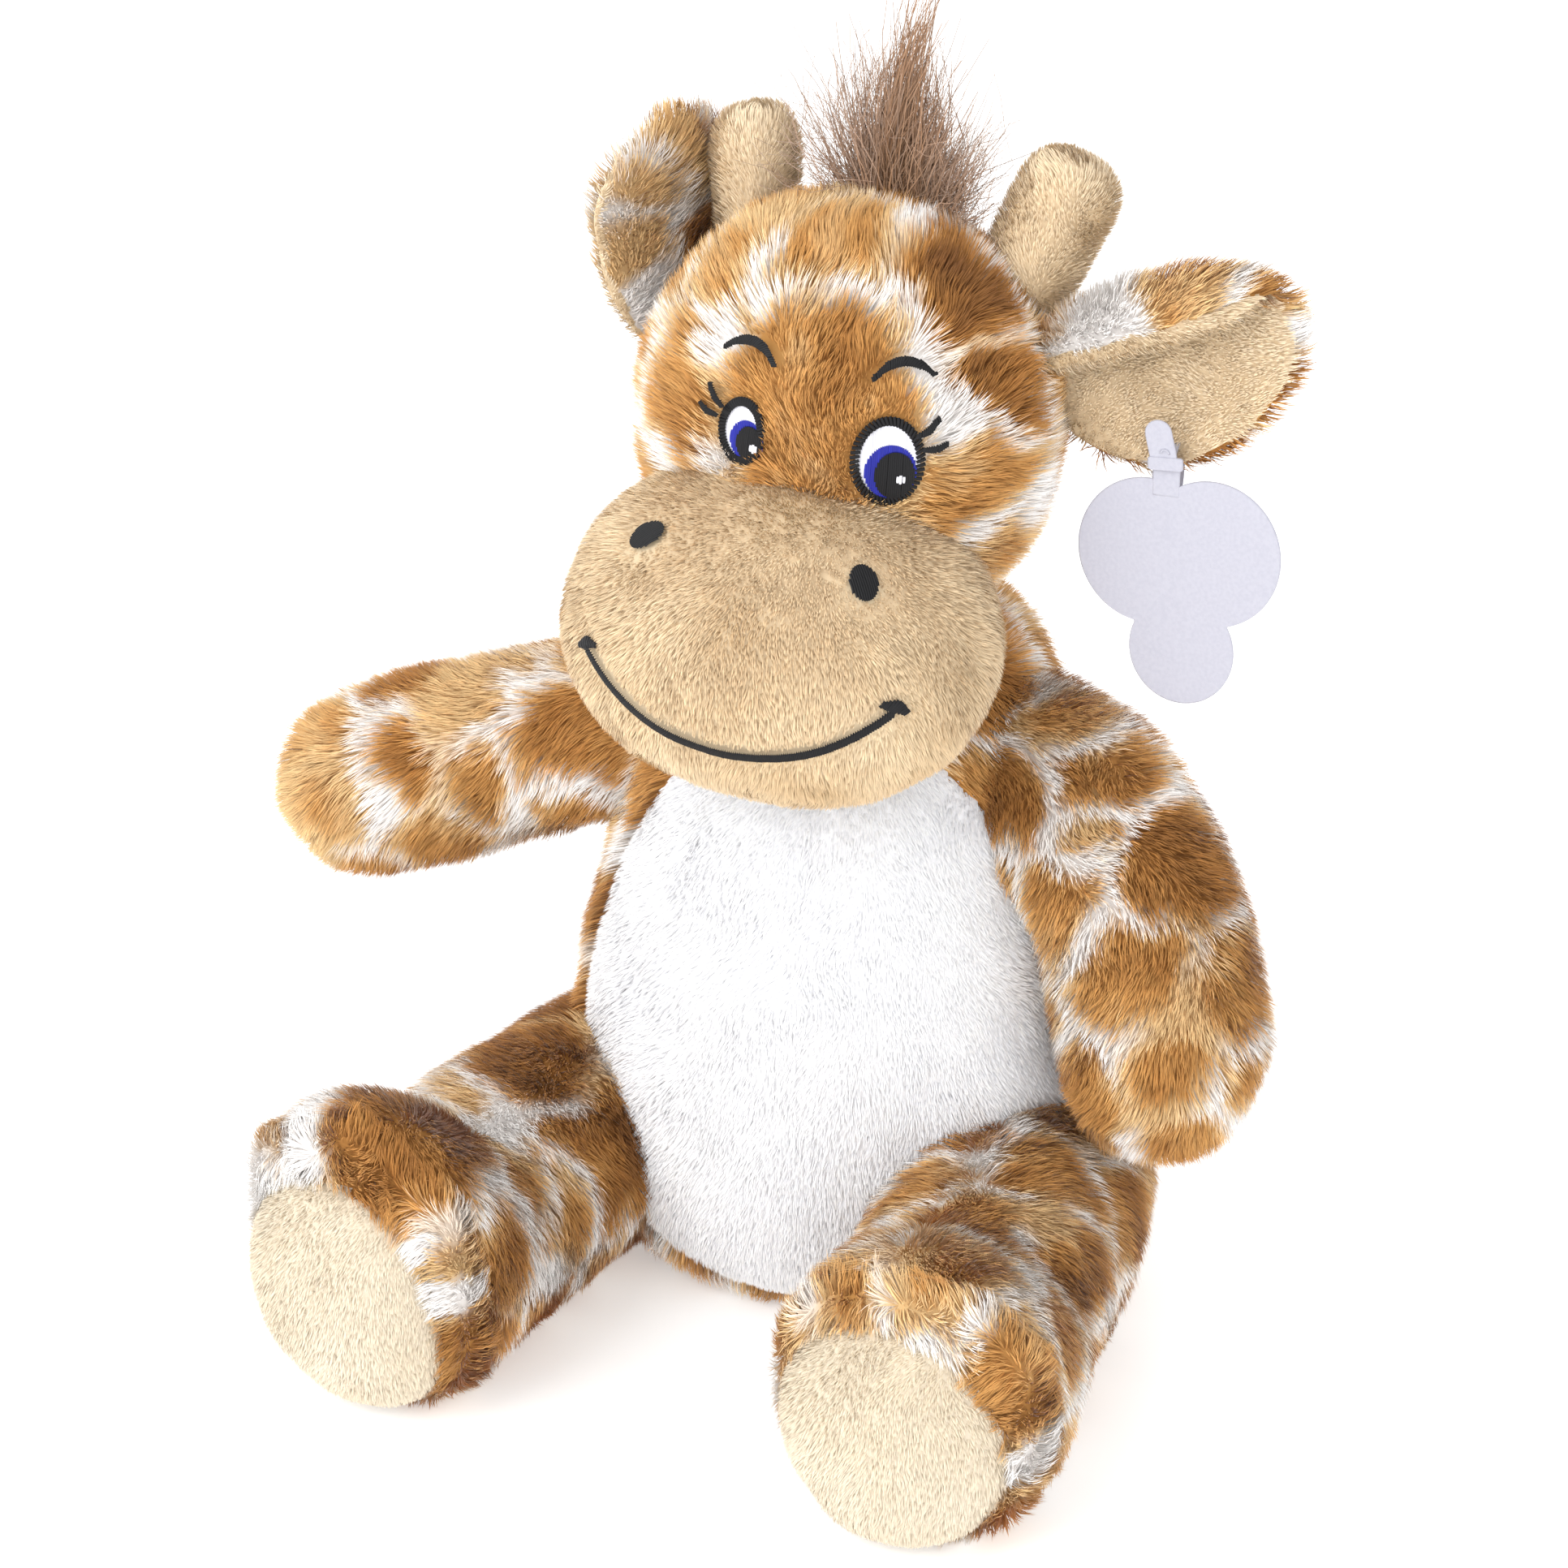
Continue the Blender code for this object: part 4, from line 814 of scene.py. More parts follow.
def hidden_seeds(roots, seeds):
    """More patches, over the sides that the given ones leave bare."""
    found = [tuple(seed) for seed in seeds]
    for index in rng.permutation(len(roots))[:4000]:
        place = roots[index]
        size = rng.uniform(0.0, 5.0)
        gaps = [math.dist(place, seed[:3]) - seed[3] - size for seed in found]
        if not gaps or min(gaps) > PATCH_GAP:
            found.append((*place, size, rng.uniform(0.15, 0.65)))
    return np.array(found)


# Over which distances from its rim a patch turns brown and is paler, and over which noise white
# turns golden
LINE_EDGE, PALE_EDGE, GOLDEN_EDGE = (0.3, 4.4), (3.5, 9.0), (-0.50, -0.10)


def patched(places, seeds, jitter=0.0):
    """Colour of the printed fur: brown patches parted by white lines."""
    warped = places + noise3(places, 10.0, 21) * 3.0 + noise3(places, 4.0, 31) * 1.5
    first, second = np.full((2, len(places)), 1e9)
    shade, open_white = np.zeros((2, len(places)))
    for x, y, z, radius, light in seeds:
        distance = np.linalg.norm(warped - (x, y, z), axis=1) - radius
        nearer = distance < first
        second = np.where(nearer, first, np.minimum(second, distance))
        first = np.where(nearer, distance, first)
        shade = np.where(nearer, abs(light), shade)
        open_white = np.where(nearer, float(light < 0), open_white)
    line = second - first + noise(places, 6.0, 41) * 2.2 + noise(places, 14.0, 44) * 1.4
    if jitter:
        line = line + rng.normal(0.0, jitter, len(places))
    brown = ramp(line, *LINE_EDGE) * (1.0 - open_white)
    shade = shade + 0.08 + noise(places, 7.0, 51) * 0.24 + noise(places, 3.0, 54) * 0.12
    shade = np.clip(shade + 0.38 * (1 - ramp(line, *PALE_EDGE)), 0, 1)
    step = shade * (len(SHADES) - 1.001)
    low = step.astype(int)
    part = (step - low)[:, None]
    colour = SHADES[low] * (1 - part) + SHADES[low + 1] * part
    golden = (1 - ramp(noise(places, 16.0, 47), *GOLDEN_EDGE)) * (1 - open_white)
    between = WHITE_FUR * (1 - golden[:, None]) + SHADES[-1] * golden[:, None]
    return between * (1 - brown[:, None]) + colour * brown[:, None]


def shaded(base, groups, deep, spread=0.09):
    """Root, middle and tip colours of each blade from its own: the root darkened by painted shade,
    less on pale fur, the tip a little paler.
    """
    own = rng.normal(1.0, spread, len(base))[:, None]
    own = own * rng.normal(1.0, spread * 0.9, groups.max() + 1)[groups][:, None]
    pale = ramp(base.min(axis=1), 0.30, 0.85)[:, None]
    deep = np.array(deep) + (0.96 - np.array(deep)) * pale
    base = base * (1 + (own - 1) * (1 - 0.6 * pale))
    # painted shade at the foot of each blade; the tip a little paler
    root, middle, tip = base * deep, base, base * 1.10 + 0.012
    return np.stack([root, root, middle, middle, tip], axis=1)


def everywhere(places):
    return np.ones(len(places), bool)


def cloth(name, form_name, slot_name, tint, nodes, keep, flat):
    """The faces of a form whose middles satisfy keep, as the cloth under the pile."""
    form = FORMS[form_name]
    middles = (form.source if flat else form.points)[form.faces].mean(axis=1)
    chosen = form.faces[keep(middles)]
    used, corners = np.unique(chosen, return_inverse=True)
    mesh = build_mesh(name, form.points[used], corners.ravel(), np.full(len(chosen), 4),
                      tint(form.points[used]))
    skin = new_object(name, mesh, BACKING, BODIES.get(form_name, form_name), slot_name)
    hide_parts(*nodes)


def furred(names, form_name, comb, nodes, keep=everywhere, others=NO_FORMS, length=5.0,
           lift=LONG_LIFT, flat=False, under="skin"):
    """The patched fur on a form, wavy, tufted and combed one way, and the cloth under it."""
    roots, normals, lay, lifts, lengths = combed(form_name, comb, keep, others, flat, length, lift,
                                                 LONG_WAVES)
    if others.get("torso", 0.0) > JUST_INSIDE:
        sunk = ramp(FORMS["torso"].sink(roots), -1.0, 2.5)
        lengths, lifts = lengths * (1 - 0.5 * sunk), lifts * (1 - 0.7 * sunk)
    heading = unit(normals * lifts[:, None] + lay * (1 - lifts * 0.5)[:, None])
    tips, groups = clumped(roots, roots + heading * lengths[:, None], *LONG_TUFTS)
    reach = tips - roots + rng.normal(0, STRAY, roots.shape)
    seeds = hidden_seeds(roots, PATCHES.get(form_name, ()))
    tints = shaded(patched(roots, seeds, 1.0), groups, LONG_ROOT_SHADE)
    widths = rng.uniform(*LONG_WIDTHS, len(roots))
    blades(names.format("fur"), roots, normals, reach, widths, LONG_BEND, tints,
           (PILE, form_name, "fur"))
    # the cloth under the fur, darkened by painted shade
    cloth(names.format(under), form_name, "fur", lambda places: patched(places, seeds) * FUR_CLOTH_SHADE,
          nodes, keep, flat)


def plush(names, form_name, look, comb, node, keep=everywhere, others=NO_FORMS, length=2.3,
          flat=False):
    """Close plush in one colour and the cloth under it."""
    slot_name, light, deep, shade_darkened_backing = look
    # the cloth under the plush, darkened by painted shade
    cloth(names.format("skin"), form_name, slot_name,
          lambda places: np.tile(shade_darkened_backing, (len(places), 1)),
          (node,), keep, flat)
    roots, normals, lay, lifts, lengths = combed(form_name, comb, keep, others, flat, length,
                                                 SHORT_LIFT, SHORT_WAVES)
    tips = roots + unit(normals * lifts[:, None] + lay * SHORT_LAY) * lengths[:, None]
    tips, groups = clumped(roots, tips, *SHORT_TUFTS)
    share = 0.35 + 0.5 * noise(roots, 16.0, 95) + 0.2 * noise(roots, 5.0, 97)
    share = np.clip(share, 0, 1)[:, None]
    tints = shaded(light * (1 - share) + deep * share, groups, SHORT_ROOT_SHADE, 0.055)
    widths = rng.uniform(*SHORT_WIDTHS, len(roots))
    blades(names.format("pile"), roots, normals, tips - roots, widths, SHORT_BEND, tints,
           (SHORT_PILE, BODIES.get(form_name, form_name), slot_name))


# Which way the pile is combed, and which part of a form it covers


def toward(x, y, z):
    return lambda places: np.tile((x, y, z), (len(places), 1)).astype(float)


def away_from(x, y, z):
    return lambda places: unit(places - np.array((x, y, z)))


def limb_comb(path):
    """Along a limb's own middle line, towards its end, and a little down."""
    stops = np.array([tuple(point) for point in path], float)

    def comb(places):
        nearest = np.linalg.norm(places[:, None] - stops[None, :-1], axis=2).argmin(axis=1)
        return unit(stops[nearest + 1] - stops[nearest]) + np.array((0.0, 0.0, -0.35))

    return comb


def foot_comb(line, past, outward):
    """Down both sides of the leg, but upwards where the cloth is gathered over the sole."""
    plain = limb_comb(line)
    start, end = (np.array(tuple(point)) for point in (line[0], line[-1]))
    axis = unit(end - start)

    def comb(places):
        near = ramp(past(places), -16.0, -4.0)[:, None]
        across = places - start - ((places - start) @ axis)[:, None] * axis
        across = across * (1.0, 1.0, 0.0) + np.array((outward * 5.0, 0.0, 0.0))
        falling = plain(places) * 0.6 + unit(across) * 0.8 + np.array((0.0, 0.0, -0.5))
        lying = falling * (1 - near) + np.array((-0.25, 0.1, 0.9)) * near
        fringe = ramp(past(places), -5.5, -1.0)[:, None]
        return lying * (1 - fringe) + (axis * 1.2 + np.array((0.0, 0.0, -0.1))) * fringe

    return comb


def belly_side(places):
    """How far inside the belly's outline each place is, negative outside."""
    middle, half = (BELLY_LOW + BELLY_HIGH) / 2, (BELLY_HIGH - BELLY_LOW) / 2
    rise = (places[:, 2] - middle) / half
    turn = np.clip(rise, -1.0, 1.0)
    wide = BELLY_WIDTH / 2 * (1 - BELLY_TAPER * turn) * np.sqrt(1 - turn * turn)
    inside = wide - np.abs(places[:, 0] - BELLY_SHIFT)
    return np.where((places[:, 1] < 9.0) & (np.abs(rise) < 1.0), inside, -1.0)


def before(past):
    return lambda places: past(places) <= 0


def beyond(past):
    return lambda places: past(places) > 0


EAR_EDGES = {"left": (-0.95, 0.78, 0.84), "right": (-0.80, 0.80, 0.92)}  # low, high and rim


def ear_front(side):
    """Tells the lined places of the leaf, as it was before it was bent."""
    low, high, rim = EAR_EDGES[side]

    def inner(flat):
        share = flat[:, 0] * SIDES[side] / EAR_LENGTH
        edge = flat[:, 2] / (EAR_WIDTH / 2) / ear_width(share)
        front = (flat[:, 1] < -0.25) & (edge > low) & (edge < high) & (share < 0.94)
        return front | ((edge > rim) & (share < 0.92) & (share > 0.1))

    return inner


# How deep pile runs on into the forms beside it, so that no cloth shows when they move
BACK_LIMITS = {"arm_left": 4.0, "arm_right": 4.0, "leg_left": 12.0, "leg_right": 12.0, "head": 8.0}
BELLY_LIMITS = {"leg_left": 15.0, "leg_right": 15.0, "muzzle": 12.0}
ARM_LIMITS, LEG_LIMITS = {"torso": 9.0, **IN_HEAD, **IN_MUZZLE}, {"torso": 17.0}


def make_plush():
    falling = toward(0.0, 0.15, -1.0)
    furred("back_{}", "torso", falling, ("torso_back", "torso_stuffing"), before(belly_side),
           BACK_LIMITS)
    plush("belly_{}", "torso", BELLY_PLUSH, falling, "belly_panel", beyond(belly_side),
          BELLY_LIMITS, 1.9)
    furred("head_{}", "head", away_from(0.0, -45.0, 160.0), ("head_skin", "head_stuffing"),
           others=IN_MUZZLE, length=5.4, under="skin_cloth")
    plush("muzzle_{}", "muzzle", MUZZLE_PLUSH, away_from(0.0, -10.0, 200.0), "muzzle",
          others=IN_HEAD)
    for side in SIDES:
        horn = "horn_" + side
        plush("horn_{}_" + side, horn, SMOOTH_PLUSH, toward(0.0, 0.0, 1.0), horn,
              others=IN_HEAD)
    for side, sign in SIDES.items():
        arm, leg, past = "arm_" + side, "leg_" + side, sole_side(side)
        furred(arm + "_{}", arm, limb_comb(ARM_PATHS[side]), (arm, arm + "_stuffing"),
               others=ARM_LIMITS)
        line = [leg_line(side, share)[0] for share in (0.0, 0.3, 0.6, 1.0)]
        furred(leg + "_{}", leg, foot_comb(line, past, sign), (leg, leg + "_stuffing"),
               before(past), LEG_LIMITS, 4.6, 0.6)
        plush("sole_{}_" + side, leg, SOLE_PLUSH, toward(0.0, -0.2, -1.0), "sole_" + side,
              beyond(past), length=1.6)
    for side, sign in SIDES.items():
        ear, inner = "ear_" + side, ear_front(side)
        along = toward(*(EAR_MATRICES[side].to_3x3() @ Vector((sign, 0.0, 0.0))))
        furred(ear + "_{}", ear, along, ("ear_outer_" + side,),
               lambda flat, lined=inner: ~lined(flat), IN_HEAD, 4.6, flat=True)
        plush(ear + "_lining_{}", ear, SMOOTH_PLUSH, along, "ear_lining_" + side, inner,
              IN_HEAD, 2.2, True)


# Stitching


LASHES = ((0.72, (3.4, 2.9)), (0.36, (4.0, 1.0)))  # place round the eye, and reach
THREADS = {"black": linear(16, 16, 19), "white": linear(232, 232, 240),
           "blue": linear(34, 40, 150)}
DROP_HEIGHT = 90.0  # the pattern starts well outside the form that it is dropped onto


class Stitches:
    """Rows of raised thread in one colour, laid on the head or the muzzle."""

    def __init__(self, form_name, aim, thread):
        self.form, self.thread = FORMS[form_name], thread
        self.matrix = aim_at(form_name, *aim)
        self.heading = (self.matrix.to_3x3() @ Vector((0.0, 0.0, 1.0))).normalized()
        self.points, self.corners, self.tints, self.normals = [], [], [], []

    def lay(self, start, end, width, rise, arch=0.35, steps=5):
        """One stitch between two places of the flat pattern."""
        base = len(self.points)
        track = []
        for step in range(steps + 1):
            share = step / steps
            flat = Vector((start[0] + (end[0] - start[0]) * share,
                           start[1] + (end[1] - start[1]) * share, 0.0))
            far = self.matrix @ (flat + Vector((0.0, 0.0, DROP_HEIGHT)))
            spot, normal = self.form.project(far, -self.heading)
            height = rise + arch * math.sin(math.pi * (0.12 + 0.76 * share))
            track.append((spot + normal * height, normal))
        tone = np.array(THREADS[self.thread]) * rng.uniform(0.82, 1.12)
        for step, (spot, normal) in enumerate(track):
            ahead = track[min(step + 1, steps)][0] - track[max(step - 1, 0)][0]
            across = ahead.cross(normal).normalized() * width / 2
            for side, lift in ((-1.0, -0.5), (-0.55, 0.10), (0.55, 0.10), (1.0, -0.5)):
                self.points.append(spot + across * side + normal * lift * width)
                self.normals.append((normal * 0.7 + across.normalized() * side * 0.6).normalized())
                self.tints.append(tone)
        for row in range(base, base + steps * 4, 4):
            self.corners += [(row + side, row + side + 1, row + side + 5, row + side + 4)
                             for side in range(3)]

    def oval(self, wide, tall, rise, drop=0.0, across=0.0, spacing=0.42, slant=0.0):
        """Filled with upright satin stitches."""
        count = max(3, int(wide / spacing))
        for index in range(count):
            share = (index + 0.5) / count * 2 - 1
            half = tall / 2 * math.sqrt(max(0.0, 1 - share * share))
            middle = across + share * wide / 2
            shift = slant * half
            self.lay((middle - shift, drop - half), (middle + shift, drop + half), 0.55,
                     rise)

    def ring(self, wide, tall, band, rise, count=54):
        """An oval outline of short radial stitches."""
        for index in range(count):
            turn = math.tau * index / count
            lean = turn + 0.08
            self.lay(((wide / 2 - band) * math.cos(turn), (tall / 2 - band) * math.sin(turn)),
                     (wide / 2 * math.cos(lean), tall / 2 * math.sin(lean)), 0.75, rise, 0.25, 3)

    def line(self, points, band, rise, spacing=0.42, taper=0.35):
        """Close cross stitches along a curve, thinner towards its ends."""
        points = np.array(points, float)
        steps = np.linalg.norm(np.diff(points, axis=0), axis=1)
        along = np.concatenate([[0.0], np.cumsum(steps)])

        def place(at):
            return np.array([np.interp(at, along, points[:, axis]) for axis in (0, 1)])

        count = max(4, int(along[-1] / spacing))
        for index in range(count + 1):
            share = index / count
            at = share * along[-1]
            ahead = place(at + 0.4) - place(at - 0.4)
            side = unit(np.array((-ahead[1], ahead[0]))) + unit(ahead) * 0.5
            full = taper + (1 - taper) * math.sin(math.pi * min(max(share, 0.08), 0.92))
            half = side * band / 2 * full
            self.lay(place(at) - half, place(at) + half, 0.7, rise, 0.25, 3)

    def made(self, name, tail="", replacing=True):
        corners = np.array(self.corners)
        points, normals = (np.array([tuple(v) for v in rows])
                           for rows in (self.points, self.normals))
        mesh = build_mesh(f"{name}_thread{tail}", points, corners.ravel(),
                          np.full(len(corners), 4), np.array(self.tints), normals)
        piece = new_object(mesh.name, mesh, THREAD, "head", self.thread + "_thread")
        if replacing:
            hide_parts(name + tail)


def arched(arch, count):
    height, half, lift = arch
    return [(across * half, height * (1 - across * across) + lift)
            for across in np.linspace(-1, 1, count)]


def make_face():
    for side, sign in SIDES.items():
        tail, aim, shift = "_" + side, EYES[side], PUPIL_SHIFTS[side]
        wide, tall = EYE_SIZES[side]
        for name, thread, *oval in (
                ("eye_white", "white", wide - 1.4, tall - 1.4, 0.5, 0.0, 0.0, 0.36),
                ("iris", "blue", wide * 0.72, tall * 0.63, 0.8, -0.12 * tall, shift - 0.7, 0.36),
                ("pupil", "black", wide * 0.55, tall * 0.54, 1.1, -0.15 * tall, shift, 0.36),
                ("eye_glint", "white", 1.5, 1.7, 1.45, -0.19 * tall, shift + 1.1, 0.4)):
            patch = Stitches("head", aim, thread)
            patch.oval(*oval)
            patch.made(name, tail, name != "eye_glint")
        outline = Stitches("head", aim, "black")
        outline.ring(wide + 0.6, tall + 0.6, LINE_BAND, 1.0)
        for turn, away in LASHES:
            start = (sign * math.cos(turn) * wide / 2, math.sin(turn) * tall / 2)
            end = (start[0] + sign * away[0], start[1] + away[1])
            middle = ((start[0] + end[0]) / 2 + sign * 0.3, (start[1] + end[1]) / 2 - 0.4)
            outline.line((start, middle, end), 1.3, 2.9, 0.4, 0.6)
        outline.made("eye_outline", tail)
        brow = Stitches("head", BROWS[side], "black")
        brow.line(arched(BROW_ARCH, 9), LINE_BAND, 3.2)
        brow.made("brow", tail)
        nostril = Stitches("muzzle", NOSTRILS[side], "black")
        nostril.oval(*NOSTRIL, 1.1, spacing=0.4, slant=0.1)
        nostril.made("nostril", tail)
    mouth = Stitches("muzzle", MOUTH, "black")
    _, half, lift = MOUTH_ARCH
    mouth.line(arched(MOUTH_ARCH, 25), LINE_BAND, 1.4, 0.40, 0.8)
    for sign in (-1.0, 1.0):
        end = [(sign * half + across * 1.9, lift + 1.1 - abs(across) * 0.5 - sign * across * 1.2)
               for across in np.linspace(-1, 1, 5)]
        mouth.line(end, LINE_BAND, 1.5)
    mouth.made("mouth")


# The mane


# Locks in the mane's own frame: foot across and back, tip across, back and up, bow to the
# side, looseness from 0 to 1, and number of hairs
MANE_LOCKS = (
    (-2, 0, -4, -1, 44, -2.0, 0.25, 260), (0, 1, -6, 0, 36, -2.0, 0.4, 220),
    (-3, 0, -11, -2, 33, -1.5, 0.7, 210), (-4, 0, -17, -3, 29, 0.5, 0.9, 150),
    (-5, 0, -22, -3, 23, 1.0, 1.0, 120), (-6, 0, -25, -4, 13, 1.5, 1.0, 90),
    (2, 0, 2, -1, 27, -1.0, 0.4, 230), (4, 0, 7, -2, 21, -0.5, 0.6, 190),
    (5, 1, 12, -2, 25, 0.0, 1.0, 130), (6, 0, 15, -3, 14, 0.0, 1.0, 110),
    (0, 4, -2, 8, 32, 1.0, 0.6, 160), (3, 4, 8, 9, 20, 0.0, 0.9, 130),
    (-3, 4, -11, 9, 22, 0.0, 0.9, 130),
)
MANE_STEPS = 8  # places along a hair
MANE_ROOT, MANE_TIP = linear(168, 120, 76), linear(176, 152, 136)


def make_mane():
    """A tuft of long loose hairs in wavy locks, gathered at its foot and tallest in its
    middle."""
    strands = np.repeat(np.array(MANE_LOCKS, float), [int(row[-1]) for row in MANE_LOCKS], axis=0)
    count = len(strands)
    loose = strands[:, 6][:, None]
    root = np.stack([strands[:, 0], strands[:, 1], np.full(count, -3.0)], axis=1)
    root = root + rng.normal(0, 1.0, (count, 3)) * np.array((1.5, 1.6, 0.3))
    tip = strands[:, 2:5] + rng.normal(0, 1.0, (count, 3)) * (1.6 + 3.0 * loose)
    length = np.linalg.norm(tip - root, axis=1) * rng.uniform(0.5, 1.06, count)
    heading = unit(tip - root)
    bow = np.stack([strands[:, 5], np.zeros(count), np.zeros(count)], axis=1)
    bow = bow + rng.normal(0, 1.0, (count, 3)) * np.array((1.2, 1.2, 0.4))
    hook = rng.normal(0, 1.0, (count, 3)) * (0.7 + 2.3 * loose)
    phase = rng.uniform(4.0, 8.0, count)[:, None]
    spots = []
    for share in np.arange(MANE_STEPS) / (MANE_STEPS - 1):
        place = root + heading * (length * share)[:, None] + bow * math.sin(math.pi * share)
        spots.append(placed(place + hook * np.sin(share * phase) * share, MANE_FRAME))
    spots = np.stack(spots, axis=1)
    ahead = np.gradient(spots, axis=1)
    look = unit(rng.normal(0, 1, (count, 1, 3)) * 0.5 + np.array((0.35, -0.9, 0.4)))
    across = unit(np.cross(ahead, look))
    narrow = np.linspace(1.0, 0.4, MANE_STEPS)[None, :, None]
    widths = narrow * (rng.uniform(0.10, 0.18, count) * (1 - 0.35 * loose[:, 0]))[:, None, None]
    points = np.stack([spots - across * widths, spots + across * widths], axis=2)
    normals = np.repeat(unit(look + np.zeros_like(spots))[:, :, None, :], 2, axis=2)
    base = (np.arange(count) * MANE_STEPS * 2)[:, None, None]
    row = (np.arange(MANE_STEPS - 1) * 2)[None, :, None]
    corners = base + row + np.array((0, 1, 3, 2))
    tone = MANE_ROOT * rng.uniform(0.5, 1.25, count)[:, None]
    pale = MANE_TIP * rng.uniform(0.7, 1.15, count)[:, None]
    share = np.linspace(0, 1, MANE_STEPS)[None, :, None]
    mix = share * (0.30 + 0.70 * loose[:, :, None])
    tints = tone[:, None] * (1 - mix) * (0.5 + 0.6 * share) + pale[:, None] * mix
    tints = np.repeat(tints[:, :, None, :], 2, axis=2)
    mesh = build_mesh("mane_hairs", points.reshape(-1, 3), corners.ravel(),
                      np.full(count * (MANE_STEPS - 1), 4), tints.reshape(-1, 3),
                      normals.reshape(-1, 3))
    mane = new_object("mane_hairs", mesh, HAIR, "head", "mane_hair")
    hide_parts("mane_tuft")


# The hanging card, in its own frame at the middle of its loop


TAG_SPREAD, TAG_LOBE, TAG_LOW_LOBE, TAG_DROP, TAG_STRETCH = 12.4, 27.0, 20.5, 20.0, 1.1
STRAP_WIDTH, STRAP_SHIFT = 5.2, 2.6
LOOP_RADIUS, LOOP_RISE, LOOP_HALF, LOOP_WALL, LOOP_STEPS = 6.5, 8.0, 2.0, 0.5, 40
LOOP_FLAT, LOOP_SHIFT, LOOP_FRONT = 0.7, 1.6, -1.9  # the turn round the ear is flattened
TAG_LIFT = 7.0  # the card hangs close under the ear
CARD_BEVEL = 0.25
TAG_FRAME = place_in(Matrix.Translation(TAG_HOLE), (0.0, 0.0, -LOOP_RADIUS), (0.0, 0.0, HEAD_TURN))
BAND = np.array([(-3.4, -1.0), (-3.0, -1.3), (3.0, -1.3), (3.4, -1.0), (3.4, 1.0), (3.0, 1.3),
                 (-3.0, 1.3), (-3.4, 1.0)])


def lobed_outline(count=180):
    """The edge of three joined ovals, as seen from a point inside them."""
    lobes = ((-TAG_SPREAD / 2, 0.0, TAG_LOBE / 2), (TAG_SPREAD / 2, 0.0, TAG_LOBE / 2),
             (0.0, -TAG_DROP, TAG_LOW_LOBE / 2))
    origin = np.array((0.0, -TAG_DROP / 2))
    edge = []
    for turn in np.arange(count) * math.tau / count:
        ray = np.array((math.cos(turn), math.sin(turn)))
        reach = 0.0
        for across, rise, half in lobes:
            size = np.array((half, half * TAG_STRETCH))
            start, step = (origin - (across, rise)) / size, ray / size
            part = (start @ step) ** 2 - (step @ step) * (start @ start - 1)
            if part > 0:
                reach = max(reach, (-(start @ step) + math.sqrt(part)) / (step @ step))
        edge.append(origin + ray * reach)
    return np.array(edge)


def rounded_end(height, count=14):
    """A strip with one round end, standing on its square foot."""
    half = STRAP_WIDTH / 2
    turns = np.linspace(0, math.pi, count)
    arch = [(half * math.cos(turn), height - half + half * math.sin(turn)) for turn in turns]
    return np.array([(half, 0.0), *arch, (-half, 0.0)])


def thumb_cut(count=9):
    """A half-round cut, drawn as a narrow arc."""
    outer, inner = ([(radius * math.cos(turn), radius * math.sin(turn)) for turn in turns]
                    for radius, turns in ((1.0, np.linspace(0, math.pi, count)),
                                          (0.85, np.linspace(math.pi, 0, count))))
    return np.array(outer + inner)


def card_piece(name, outline, place, tilt=0.0, thick=0.6):
    """Die-cut card with worn, slightly rounded edges."""
    middle = outline.mean(axis=0)
    reach = np.linalg.norm(outline - middle, axis=1).mean()
    inner = middle + (outline - middle) * (1 - CARD_BEVEL / reach)
    layers = ((inner, -thick / 2), (outline, -thick / 4), (outline, thick / 4), (inner, thick / 2))
    points = np.concatenate([np.stack([ring[:, 0], np.full(len(ring), depth), ring[:, 1]], axis=1)
                             for ring, depth in layers])
    turned = Matrix.Rotation(math.radians(tilt), 4, "Y")
    frame_here = TAG_FRAME @ Matrix.Translation(place) @ turned
    count = len(outline)
    first, then = np.arange(count), np.roll(np.arange(count), -1)
    sides = [np.stack([level * count + first, level * count + then, (level + 1) * count + then,
                       (level + 1) * count + first], axis=1).ravel() for level in range(3)]
    corners = np.concatenate([*sides, first[::-1], 3 * count + first])
    mesh = build_mesh(name, placed(points, frame_here), corners,
                      np.array([4] * (3 * count) + [count, count]))
    mesh.polygons.foreach_set("use_smooth", [True] * (3 * count) + [False, False])
    return new_object(name, mesh, CARD, "tag", "tag_card")


def loop_piece():
    """The strap's own turn round the edge of the ear."""
    turns = np.linspace(0, math.tau, LOOP_STEPS + 1)[:-1]
    inside = LOOP_RADIUS - LOOP_WALL
    rings = [np.stack([np.full(LOOP_STEPS, side), -radius * LOOP_FLAT * np.cos(turns),
                       radius * np.sin(turns)], axis=1)
             for radius, side in ((LOOP_RADIUS, -LOOP_HALF), (LOOP_RADIUS, LOOP_HALF),
                                  (inside, LOOP_HALF), (inside, -LOOP_HALF))]
    points = np.concatenate(rings) + (LOOP_SHIFT, LOOP_FRONT, LOOP_RISE)
    first, then = np.arange(LOOP_STEPS), np.roll(np.arange(LOOP_STEPS), -1)
    faces = [np.stack([low + first, high + first, high + then, low + then], axis=1).ravel()
             for low, high in np.array(((0, 1), (1, 2), (2, 3), (3, 0))) * LOOP_STEPS]
    mesh = build_mesh("tag_loop", placed(points, TAG_FRAME), np.concatenate(faces),
                      np.full(4 * LOOP_STEPS, 4))
    new_object("tag_loop", mesh, CARD, "tag", "tag_card")


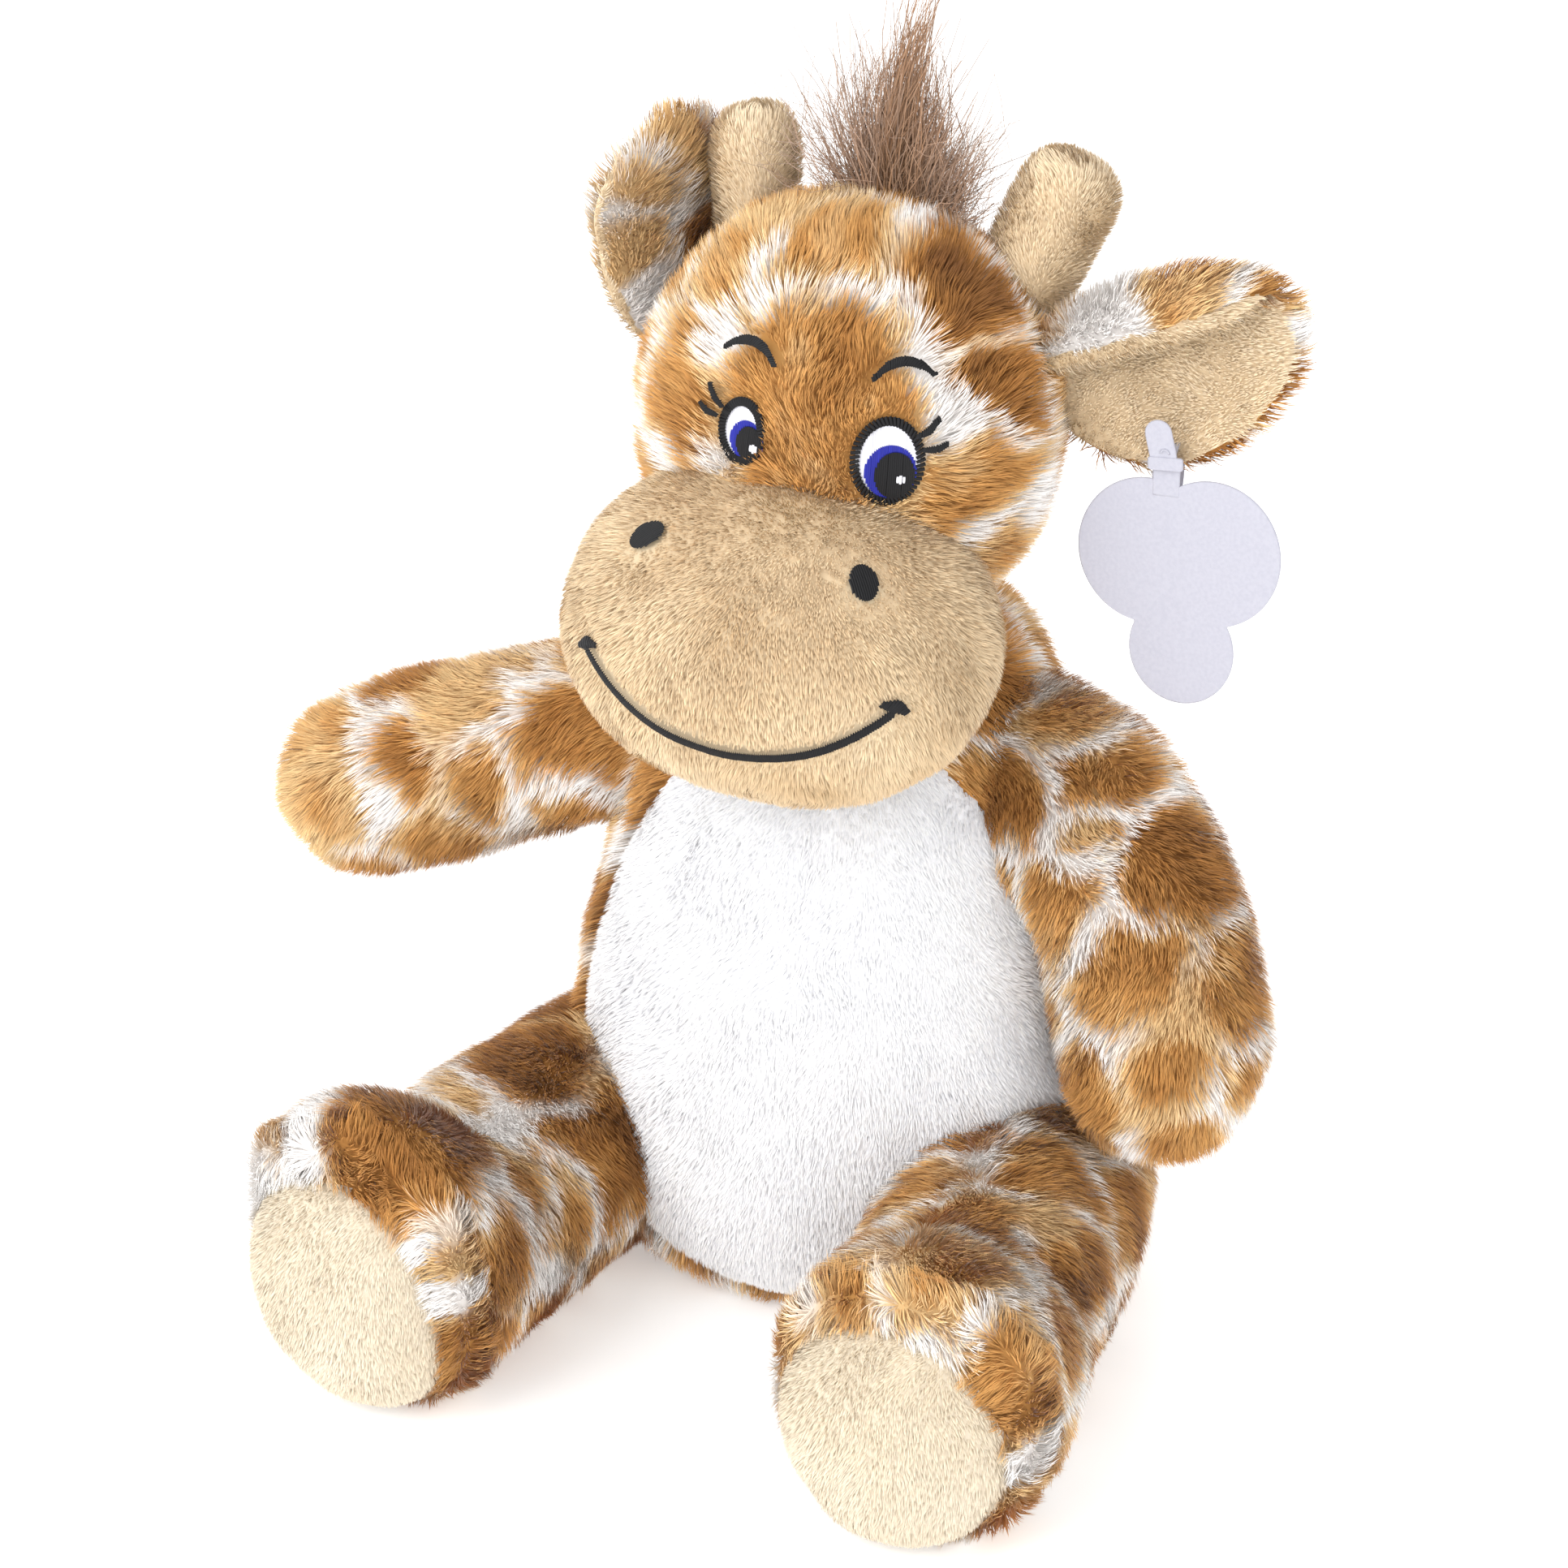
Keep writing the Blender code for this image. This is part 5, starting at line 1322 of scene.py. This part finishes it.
def make_tag():
    front = -LOOP_RADIUS - 0.4
    card = card_piece("tag_card_blank", lobed_outline(), (5.6, front, -12.6 + TAG_LIFT), -4.0)
    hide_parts("hang_tag")
    loop_piece()
    for name, outline, shift, ahead, rise, *rest in (
            ("tag_strap", rounded_end(9.0), 0.0, 0.1, -1.6, -1.0),
            ("tag_band", BAND, 0.2, 0.9, 5.4, -3.0, 0.8),
            ("tag_strap_end", rounded_end(9.5), 0.2, 0.7, 4.6, -14.0),
            ("tag_strap_cut", thumb_cut(), 0.4, 1.1, 7.4, 0.0, 0.3)):
        card_piece(name, outline, (STRAP_SHIFT - shift, front - ahead, rise + TAG_LIFT), *rest)


# Floor, light and camera


FLOOR_REACH, FLOOR_DROP, FLOOR_GLOW = 6.0, -0.0005, 0.34  # metres, as everything below
LIT, SEEN = 0.74, 1.0  # the surroundings as light and as background
LAMPS = (("key", (-0.6, -0.9, 1.0), 1.0, 12.0), ("fill", (0.8, -0.9, 0.6), 1.2, 5.0),
         ("low", (0.1, -1.3, 0.25), 1.2, 3.5), ("back", (0.1, 1.0, 0.9), 1.2, 5.0))
LAMP_TARGET, CAMERA_TARGET = Vector((0, 0, 0.11)), Vector((-0.002, -0.021, 0.115))
AZIMUTH, ELEVATION, DISTANCE, HALF_VIEW = math.radians(22.0), math.radians(27.0), 0.75, 0.153


def linked(name, data):
    made = bpy.data.objects.new(name, data)
    bpy.context.scene.collection.objects.link(made)
    return made


def studio():
    """Pale floor, soft level light and the photograph's viewpoint."""
    mesh = bpy.data.meshes.new("floor")
    mesh.from_pydata([(across * FLOOR_REACH, deep * FLOOR_REACH, FLOOR_DROP)
                      for across, deep in ((-1, -1), (1, -1), (1, 1), (-1, 1))],
                     [], [(0, 1, 2, 3)])
    floor = linked("floor", mesh)
    look = principled("floor_white", 0.9, colour=(0.93, 0.93, 0.93))
    set_inputs(look.node_tree.nodes["Principled BSDF"], Emission_Color=(1.0, 1.0, 1.0, 1.0),
               Emission_Strength=FLOOR_GLOW)
    mesh.materials.append(look)
    world = bpy.data.worlds.new("studio")
    bpy.context.scene.world = world
    world.use_nodes = True
    tree = world.node_tree
    lit, seen = tree.nodes["Background"], tree.nodes.new("ShaderNodeBackground")
    path, mixed = tree.nodes.new("ShaderNodeLightPath"), tree.nodes.new("ShaderNodeMixShader")
    tree.links.new(path.outputs["Is Camera Ray"], mixed.inputs["Fac"])
    for index, (background, strength) in enumerate(((lit, LIT), (seen, SEEN)), 1):
        set_inputs(background, Color=(1.0, 1.0, 1.0, 1.0), Strength=strength)
        tree.links.new(background.outputs["Background"], mixed.inputs[index])
    tree.links.new(mixed.outputs["Shader"], tree.nodes["World Output"].inputs["Surface"])
    for name, place, size, power in LAMPS:
        lamp = bpy.data.lights.new(name, "AREA")
        lamp.size, lamp.energy = size, power
        holder = linked(name, lamp)
        holder.location = place
        holder.rotation_euler = (LAMP_TARGET - Vector(place)).to_track_quat("-Z", "Y").to_euler()
    camera = bpy.data.cameras.new("photo_view")
    holder = linked("photo_view", camera)
    flat = math.cos(ELEVATION)
    back = Vector((math.sin(AZIMUTH) * flat, -math.cos(AZIMUTH) * flat, math.sin(ELEVATION)))
    holder.location = CAMERA_TARGET + back * DISTANCE
    holder.rotation_euler = back.to_track_quat("Z", "Y").to_euler()
    camera.angle = 2 * math.atan(HALF_VIEW / DISTANCE)
    camera.dof.use_dof = False
    bpy.context.scene.camera = holder
    bpy.context.scene.view_settings.view_transform = "Standard"


make_plush()
make_face()
make_mane()
make_tag()
studio()
